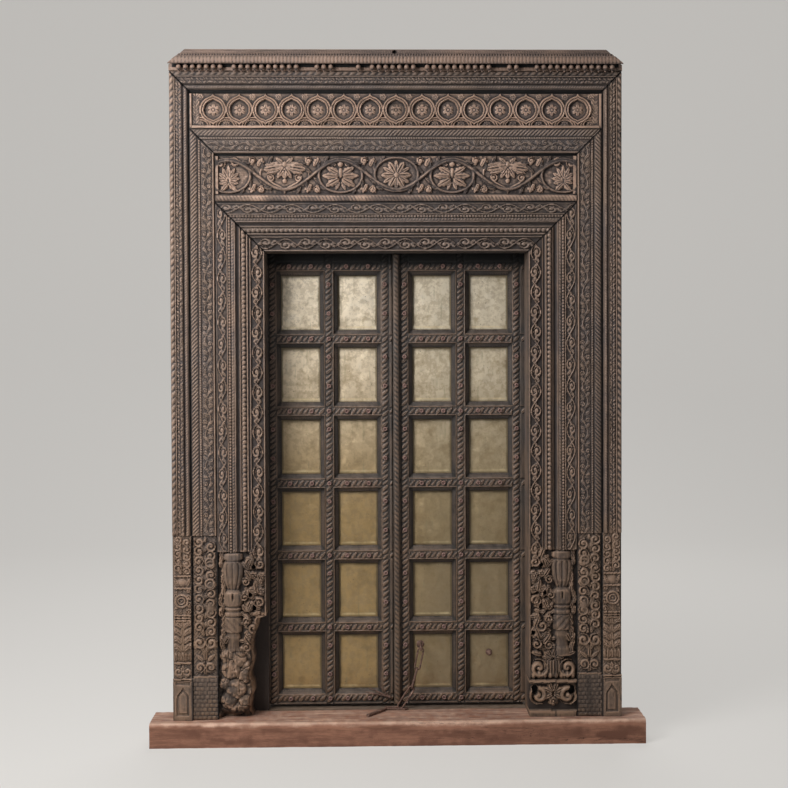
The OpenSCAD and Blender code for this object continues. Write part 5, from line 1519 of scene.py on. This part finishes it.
def strip_vine(along, across):
    """Ornament of a carved strip: slanted leaves close behind one another, every second
    one broader, repeated by the distance from the nearest multiple of their pitch."""
    out = np.zeros_like(along)
    for pitch, start, reach, breadth, strength in ((38, 0, 31, 13, 1), (38, 19, 28, 9, 0.85)):
        x = along - start - pitch * np.round((along - start) / pitch)
        a, b = at_angle(x, across, 0, 0, 48)
        out = np.maximum(out, strength * leaf(a + reach / 2, b, reach, breadth, 3))
    return out * s_curve(HALF_STRIP - np.abs(across), 0, 1.5)


class LeafFace:
    """The carved front of one leaf as a height above the boards, for any x and z."""

    def __init__(self, side):
        self.across, self.upward = panel_spans(side)
        (a0, a1), (b0, b1) = self.across
        centre = BEVEL + STRIP_WIDTH / 2
        self.uprights = [a0 - centre, (a1 + b0) / 2, b1 + centre]
        rail = (self.upward[1][0] - self.upward[0][1]) / 2
        self.rails = [self.upward[0][0] - centre]
        self.rails += [top + rail for _, top in self.upward[:-1]]
        self.rails += [self.upward[-1][1] + rail]

    def height(self, x, z):
        """Bevel up from each panel by the larger of the two distances to it, which
        mitres its corners, then the flat of the batten with the vine on its strips."""
        gap = np.maximum(outside(x, self.across), outside(z, self.upward))
        h = np.interp(gap, [0, BEVEL - 1, BEVEL + 1.6, 400],
                      [EDGE_RISE, SLOPE_RISE, BATTEN_RISE, BATTEN_RISE])
        dotted = np.exp(-(((gap - 2.5) / 2.2) ** 2)) * np.abs(np.sin(np.pi * (x + z) / 9))
        h = h + 1.4 * dotted - 0.8 * np.exp(-(((gap - 12) / 1.5) ** 2))
        off_x = from_nearest(x, self.uprights)
        off_z = from_nearest(z, self.rails)
        on_batten = gap > BEVEL + 1
        upright = (np.abs(off_x) < HALF_STRIP) & on_batten
        level = (np.abs(off_z) < HALF_STRIP) & on_batten & (np.abs(off_x) > HALF_STRIP)
        ground = BATTEN_RISE - VINE_RISE
        h = np.where(upright, ground + 2 * VINE_RISE * strip_vine(z, off_x), h)
        return np.where(level, ground + 2 * VINE_RISE * strip_vine(x, off_z), h)


def lintel_shadow(z):
    """Painted shadow of the lintel: wear that darkens the top of a leaf close under it."""
    return -1.8 * s_curve(z, LEAF_TOP - 75, LEAF_TOP - 45)


def leaf_bar(face, x0, x1, z0, z1):
    """Solid of one batten of a leaf under the leaf's carved face, with its wear."""
    across = np.linspace(x0, x1, max(3, round((x1 - x0) / STEP_ACROSS)))
    upward = np.linspace(z0, z1, max(3, round((z1 - z0) / STEP_ACROSS)))
    lies_level = x1 - x0 > z1 - z0
    if lies_level:
        u, w = np.meshgrid(across, upward, indexing="ij")
        x, z = u, w
    else:
        u, w = np.meshgrid(upward, across, indexing="ij")
        x, z = w, u
    h = face.height(x, z) + 0.4 * drift(x, z, 30, LEAF_SEED)
    h = h + 0.25 * drift(x, z, 8, LEAF_SEED + 1) - 0.4
    points, quads, caps = closed_slab(u, w, h)
    wear = np.zeros(len(points))
    wear[:h.size] = (wear_of(h) + lintel_shadow(z)).ravel()
    pu, pw, ph = points.T
    px, pz = (pu, pw) if lies_level else (pw, pu)
    return np.stack([px, BOARD_FRONT - ph, pz], -1), quads, caps, wear


def oriented(solid):
    """The same solid with its faces turned outwards."""
    points, quads, caps = solid[:3]
    if volume_of(points, quads) < 0:
        quads, caps = quads[:, ::-1], [cap[::-1] for cap in caps]
    return points, quads, caps


def joined(solids):
    """Several solids, each with its wear, as one."""
    points, quads, caps, wear, start = [], [], [], [], 0
    for solid in solids:
        p, q, c = oriented(solid)
        points.append(p)
        quads.append(q + start)
        caps += [[corner + start for corner in cap] for cap in c]
        wear.append(solid[3])
        start += len(p)
    return (np.concatenate(points), np.concatenate(quads), caps), np.concatenate(wear)


def stile_with_pins(face, side):
    """Hanging stile: the leaf's carved face turned over a half round outer edge, a flat
    back, and a round pin at each end. Its loops run round it at each height."""
    low, high = box_mm(f"{side}_pivot_stile")
    sign = -1 if side == "left" else 1
    outer = low[0] if side == "left" else high[0]
    inner = high[0] if side == "left" else low[0]
    radius = (box_mm(f"{side}_backboard")[1][1] - BOARD_FRONT + BATTEN_RISE) / 2
    front = BOARD_FRONT - BATTEN_RISE
    rows = round((LEAF_TOP - LEAF_BOTTOM) / STEP_ACROSS)
    z = np.linspace(LEAF_BOTTOM, LEAF_TOP, rows)[:, None]
    centre = outer - sign * radius
    flat = np.linspace(centre, inner, round(abs(inner - centre) / 3))[None, :]
    x = flat + 0 * z
    h = face.height(x, z + 0 * x) + 0.4 * drift(x, z + 0 * x, 30, LEAF_SEED) - 0.3
    bend = np.linspace(np.pi / 2, -np.pi / 2, 12)[None, :]
    round_x = centre + sign * radius * np.cos(bend) + 0 * z
    round_y = front + radius - radius * np.sin(bend) + 0 * z
    rebate = 4
    back_x = np.array([[outer - sign * rebate, outer - sign * rebate, inner]]) + 0 * z
    back_y = np.array([[front + 2 * radius, BOARD_FRONT, BOARD_FRONT]]) + 0 * z
    loop_x = np.concatenate([x[:, ::-1], round_x[:, 1:-1], back_x[:, 1:]], 1)
    loop_y = np.concatenate([BOARD_FRONT - h[:, ::-1], round_y[:, 1:-1], back_y[:, 1:]], 1)
    loop_z = z + 0 * loop_x
    wear = np.zeros_like(loop_x)
    wear[:, :x.shape[1]] = wear_of(h)[:, ::-1] + lintel_shadow(z)
    solids = [(*closed_tube(np.stack([loop_x, loop_y, loop_z], -1)), wear.ravel())]
    around, chamfer = 48, 1.5
    for start, end in ((low[2], LEAF_BOTTOM + 1), (LEAF_TOP - 1, high[2])):
        pin = turned([(PIN_RADIUS - chamfer, start), (PIN_RADIUS, start + chamfer),
                      (PIN_RADIUS, end - chamfer), (PIN_RADIUS - chamfer, end)], around)
        pin = pin + np.array([centre, front + radius, 0])
        solids.append((*closed_tube(pin), np.zeros(4 * around)))
    return joined(solids)


def leaf_carving(side):
    """Carved battens, stiles, studs and brass sheets of one leaf."""
    body = f"{side}_leaf"
    face = LeafFace(side)
    solid, wear = stile_with_pins(face, side)
    add_piece(f"{side}_pivot_stile_carved", solid, body, LEAF_WOOD,
              [f"{side}_pivot_stile"], wear)
    low, high = box_mm(f"{side}_meeting_stile")
    solid, wear = joined([leaf_bar(face, low[0], high[0], low[2], high[2])])
    add_piece(f"{side}_meeting_stile_carved", solid, body, LEAF_WOOD,
              [f"{side}_meeting_stile"], wear)
    low, high = box_mm(f"{side}_batten_grid")
    (_, mid0), (mid1, _) = face.across
    solid, wear = joined([leaf_bar(face, mid0, mid1, low[2], high[2])])
    add_piece(f"{side}_mullion_carved", solid, body, LEAF_WOOD,
              [f"{side}_batten_grid"], wear)
    edges = [LEAF_BOTTOM] + [z for row in face.upward for z in row] + [LEAF_TOP]
    bars = [leaf_bar(face, x0, x1, edges[2 * k], edges[2 * k + 1])
            for k in range(PANEL_ROWS + 1) for x0, x1 in ((low[0], mid0), (mid1, high[0]))]
    solid, wear = joined(bars)
    add_piece(f"{side}_rails_carved", solid, body, RAIL_WOOD,
              [f"{side}_batten_grid"], wear)
    studs(face, side, body)
    for n in range(1, 2 * PANEL_ROWS + 1):
        brass_sheet(side, n, body)


def studs(face, side, body):
    """Iron studs: a rounded ring about a sunk middle with a small nail in it, turned from
    one profile and repeated where the strips cross and between them."""
    profile = [(8, 0), (8, 1.2), (7.4, 3.4), (6.2, 4.7), (5, 4.9), (4, 4.1), (3.2, 2.6),
               (2.3, 2.4), (1.9, 3.4), (1.1, 3.9), (0.3, 4)]
    around = 18
    points, quads, caps = closed_tube(turned(profile, around))
    points = np.stack([points[:, 0], -points[:, 2], points[:, 1]], -1)
    wear = np.repeat([-0.3, 0, 0.2, 0.35, 0.35, 0, -0.4, -0.4, -0.2, 0, 0], around)
    front = box_mm(f"{side}_studs")[1][1]
    places = []
    for x in face.uprights:
        for low, high in face.upward:
            places += [(x, front, low + part * (high - low)) for part in (0.3, 0.83)]
    for z in face.rails:
        places.append((face.uprights[1], front, z))
        for low, high in face.across:
            places += [(low + part * (high - low), front, z) for part in (0.22, 0.78)]
    add_piece(f"{side}_studs_turned", repeated(points, quads, caps, places), body,
              STUD_IRON, [f"{side}_studs"], np.tile(wear, len(places)), 70)


# Dents in the right leaf's two lowest sheets: place from the middle as shares of the
# sheet's width and height, and radius
DENTS = ((-0.28, 0.1, 7), (-0.22, -0.16, 5), (-0.36, -0.05, 6), (0.3, 0.2, 6))


def brass_sheet(side, n, body):
    """Sheet of a panel: an even thickness plus a bulge that rises with the distance from the
    rim and two sizes of random field, with a painted highlight along its bottom edge and
    painted shade under its top edge."""
    node = f"{side}_brass_panel_{n}"
    low, high = box_mm(node)
    x, z = np.meshgrid(np.linspace(low[0], high[0], 36), np.linspace(low[2], high[2], 48),
                       indexing="ij")
    seed = BRASS_SEED + n + (40 if side == "right" else 0)
    rim = np.minimum(np.minimum(x - low[0], high[0] - x), np.minimum(z - low[2], high[2] - z))
    bulge = 1.6 * s_curve(rim, 0, 45) + 1.4 * drift(x, z, 34, seed) * s_curve(rim, 0, 12)
    h = (high[1] - low[1]) - 1.2 + bulge + 0.35 * drift(x, z, 11, seed + 1)
    if side == "right" and n > 2 * (PANEL_ROWS - 1):
        for dx, dz, size in DENTS:
            at_x = (low[0] + high[0]) / 2 + dx * (high[0] - low[0])
            at_z = (low[2] + high[2]) / 2 + dz * (high[2] - low[2])
            h = h - 1.6 * np.exp(-((x - at_x) ** 2 + (z - at_z) ** 2) / size ** 2)
    points, quads, caps = closed_slab(x, z, h)
    # Painted highlight along the bottom edge.
    rubbed = 0.75 * s_curve(z, low[2] + 20, low[2] + 6) * s_curve(rim, 1, 5)
    wear = np.clip(rubbed - s_curve(rim, 11, 0), -1, 1)
    # Painted shade under the panel's top edge.
    shadowed = high[2] - 22
    wear = np.where(z > shadowed, np.minimum(wear, -s_curve(z, shadowed, high[2]) * 0.7), wear)
    shape = (np.stack([points[:, 0], high[1] - points[:, 2], points[:, 1]], -1), quads, caps)
    add_piece(f"{side}_brass_sheet_{n}", shape, body, BRASS, [node],
              wear.ravel(), 60)


leaf_carving("left")
leaf_carving("right")


def cover_strip():
    """Cover strip at the meeting line: rounded, with a leaf rope down its middle."""
    low, high = box_mm("astragal")
    width, depth = high[0] - low[0], high[1] - low[1]
    w = np.concatenate([[0, 1.5], np.linspace(3.5, width - 3.5, 9), [width - 1.5, width]])
    z = np.linspace(low[2], high[2], 620)
    u, w = np.meshgrid(z, w, indexing="ij")
    h = np.interp(w, [0, 1, 4, width - 4, width - 1, width], [8, 11, 13.2, 13.2, 10, 7])
    mid = (w > 4.5) & (w < width - 4.5)
    h = np.where(mid, 12.4 + 4.8 * rope(u, w, 4.5, width - 4.5, 17, 12), h)
    h = np.clip(h + 0.3 * drift(u, w, 26, 111), 2, depth)
    points, quads, caps = closed_slab(u, w, h)
    points = np.stack([low[0] + points[:, 1], high[1] - points[:, 2], points[:, 0]], -1)
    add_piece("astragal_carved", (points, quads, caps), "right_leaf",
              LEAF_WOOD, ["astragal"], wear_of(h).ravel())


def meeting_bead():
    """Thin bead on the rear edge of the right leaf that closes the slit between the
    leaves. It stays clear of the left leaf through both swings."""
    low, high = box_mm("right_backboard")
    clear, lap, thick, below = 0.3, 0.2, 7, 9
    x0, x1 = box_mm("left_backboard")[1][0] + clear, low[0] + lap
    y0, y1 = high[1] - thick, high[1] - lap
    corners = np.array([(x0, y0), (x1, y0), (x1, y1), (x0, y1)])
    rings = np.stack([np.column_stack([corners, np.full(4, z)])
                      for z in (low[2] - below, high[2])])
    # Its dark wood fills the slit, standing in for the shade seen through it.
    add_piece("right_meeting_bead", closed_tube(rings), "right_leaf",
              HIDDEN_WOOD)


cover_strip()
meeting_bead()


# Finishes of the solids that keep their own shape


def dress(material, nodes):
    """Gives the part's own solids a finish."""
    for name in nodes:
        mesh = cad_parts[name].data
        mesh.materials.clear()
        mesh.materials.append(material)
        mesh.polygons.foreach_set("material_index", np.zeros(len(mesh.polygons), np.int32))


dress(HIDDEN_WOOD, ["left_backboard", "right_backboard"])
dress(HIDDEN_BEAM, ["rear_sill", "rear_head_rail"])
dress(IRON, ["chain_staple", "chain_link_1", "chain_link_2", "chain_link_3", "chain_link_4",
             "latch_bar", "pull_knob", "bent_staple"])


# Studio


# Share of glow that the camera sees in the floor, and strength of the world as a light
# and as the extra that the camera alone sees
GLOW_SHARE = 0.6
WORLD_LIGHT = 0.13
WORLD_SEEN = 0.5


def plain_surface(name, colour, rough, glow):
    """One plain colour for the floor and the backdrop. The camera sees it mixed with an
    even glow, so that it stays pale without lighting the door."""
    material, tree, shader, _ = new_material(name)
    shader.inputs["Base Color"].default_value = (*colour, 1.0)
    shader.inputs["Roughness"].default_value = rough
    even = shader_node(tree, "ShaderNodeEmission", {"Color": (*colour, 1.0), "Strength": glow})
    seen = tree.nodes.new("ShaderNodeLightPath").outputs["Is Camera Ray"]
    part = arithmetic(tree, "MULTIPLY", seen, GLOW_SHARE)
    both = shader_node(tree, "ShaderNodeMixShader", {0: part, 1: shader.outputs["BSDF"],
                                                     2: even.outputs["Emission"]})
    output = [node for node in tree.nodes if node.type == "OUTPUT_MATERIAL"][0]
    tree.links.new(both.outputs["Shader"], output.inputs["Surface"])
    return material


# Place, size, power in watts and aim of each lamp
LAMPS = {
    "soft_key": ((-1.95, -2.05, 2.45), (1.3, 1.3), 76.0, (0.0, 0, 1.15)),
    "soft_fill": ((0.8, -5.0, 2.6), (3.0, 2.0), 9.0, (0, 0, 1.1)),
    "soft_top": ((-1.2, -1.7, 4.4), (2.6, 1.0), 48.0, (-0.2, 0, 1.2)),
    "back_light": ((0.5, 3.2, 4.2), (3.0, 3.0), 90.0, (0, 0, 1.2)),
}


def studio():
    """Pale floor that sweeps up behind as one curve, a quarter circle between the level
    and the upright part, with soft lamps and an even pale world."""
    bend = np.linspace(0, np.pi / 2, 24)
    start, radius, height = 4, 2.5, 9.0
    curve = zip(start + radius * np.sin(bend), radius - radius * np.cos(bend))
    profile = [(-9.0, 0.0), *curve, (start + radius, height)]
    across = (-12.0, 12.0)
    points = [(x, y, z) for y, z in profile for x in across]
    faces = [(2 * k, 2 * k + 1, 2 * k + 3, 2 * k + 2) for k in range(len(profile) - 1)]
    mesh = bpy.data.meshes.new("studio_sweep")
    mesh.from_pydata(points, [], faces)
    mesh.shade_smooth()
    sweep = bpy.data.objects.new("studio_sweep", mesh)
    bpy.context.scene.collection.objects.link(sweep)
    mesh.materials.append(plain_surface("pale_floor", (0.66, 0.64, 0.61), 0.8, 1.15))
    for name, (place, size, power, target) in LAMPS.items():
        data = bpy.data.lights.new(name, "AREA")
        data.shape = "RECTANGLE"
        data.size, data.size_y = size
        data.energy = power
        lamp = bpy.data.objects.new(name, data)
        bpy.context.scene.collection.objects.link(lamp)
        lamp.location = place
        aim = np.array(target) - np.array(place)
        lamp.rotation_euler = (math.acos(-aim[2] / np.linalg.norm(aim)), 0,
                               math.atan2(aim[1], aim[0]) - math.pi / 2)
    world = bpy.data.worlds.new("pale_world")
    bpy.context.scene.world = world
    world.use_nodes = True
    tree = world.node_tree
    tree.nodes.clear()
    seen = tree.nodes.new("ShaderNodeLightPath").outputs["Is Camera Ray"]
    strength = arithmetic(tree, "ADD", arithmetic(tree, "MULTIPLY", seen, WORLD_SEEN),
                          WORLD_LIGHT)
    soft = shader_node(tree, "ShaderNodeBackground", {"Color": (0.86, 0.88, 0.92, 1),
                                                      "Strength": strength})
    out = tree.nodes.new("ShaderNodeOutputWorld")
    tree.links.new(soft.outputs["Background"], out.inputs["Surface"])


# Camera of the photograph: focal length and shift of the picture in pixels, place in
# metres, and turns to the right, downwards and of the picture in degrees
FOCAL_LENGTH = 1245.0
PICTURE_SHIFT = (-4.9, -28.4)
CAMERA_PLACE = (-0.091, -4.4005, 1.399)
YAW, PITCH, ROLL = 1.29, 1.14, 0.21


def camera():
    """Camera of the photograph: in front of the door, a little to the left, turned a
    little right and down, with the picture turned by a fraction of a degree."""
    data = bpy.data.cameras.new("photo_camera")
    data.sensor_width = 36
    data.lens = FOCAL_LENGTH / IMAGE_SIDE * data.sensor_width
    data.shift_x, data.shift_y = (shift / IMAGE_SIDE for shift in PICTURE_SHIFT)
    view = bpy.data.objects.new("photo_camera", data)
    bpy.context.scene.collection.objects.link(view)
    yaw, pitch, roll = (math.radians(angle) for angle in (YAW, PITCH, ROLL))
    turn = Matrix.Rotation(-yaw, 4, "Z") @ Matrix.Rotation(math.pi / 2 - pitch, 4, "X")
    view.matrix_world = Matrix.Translation(CAMERA_PLACE) @ turn @ Matrix.Rotation(-roll, 4, "Z")
    bpy.context.scene.camera = view


studio()
camera()
bpy.context.scene.view_settings.view_transform = "Standard"
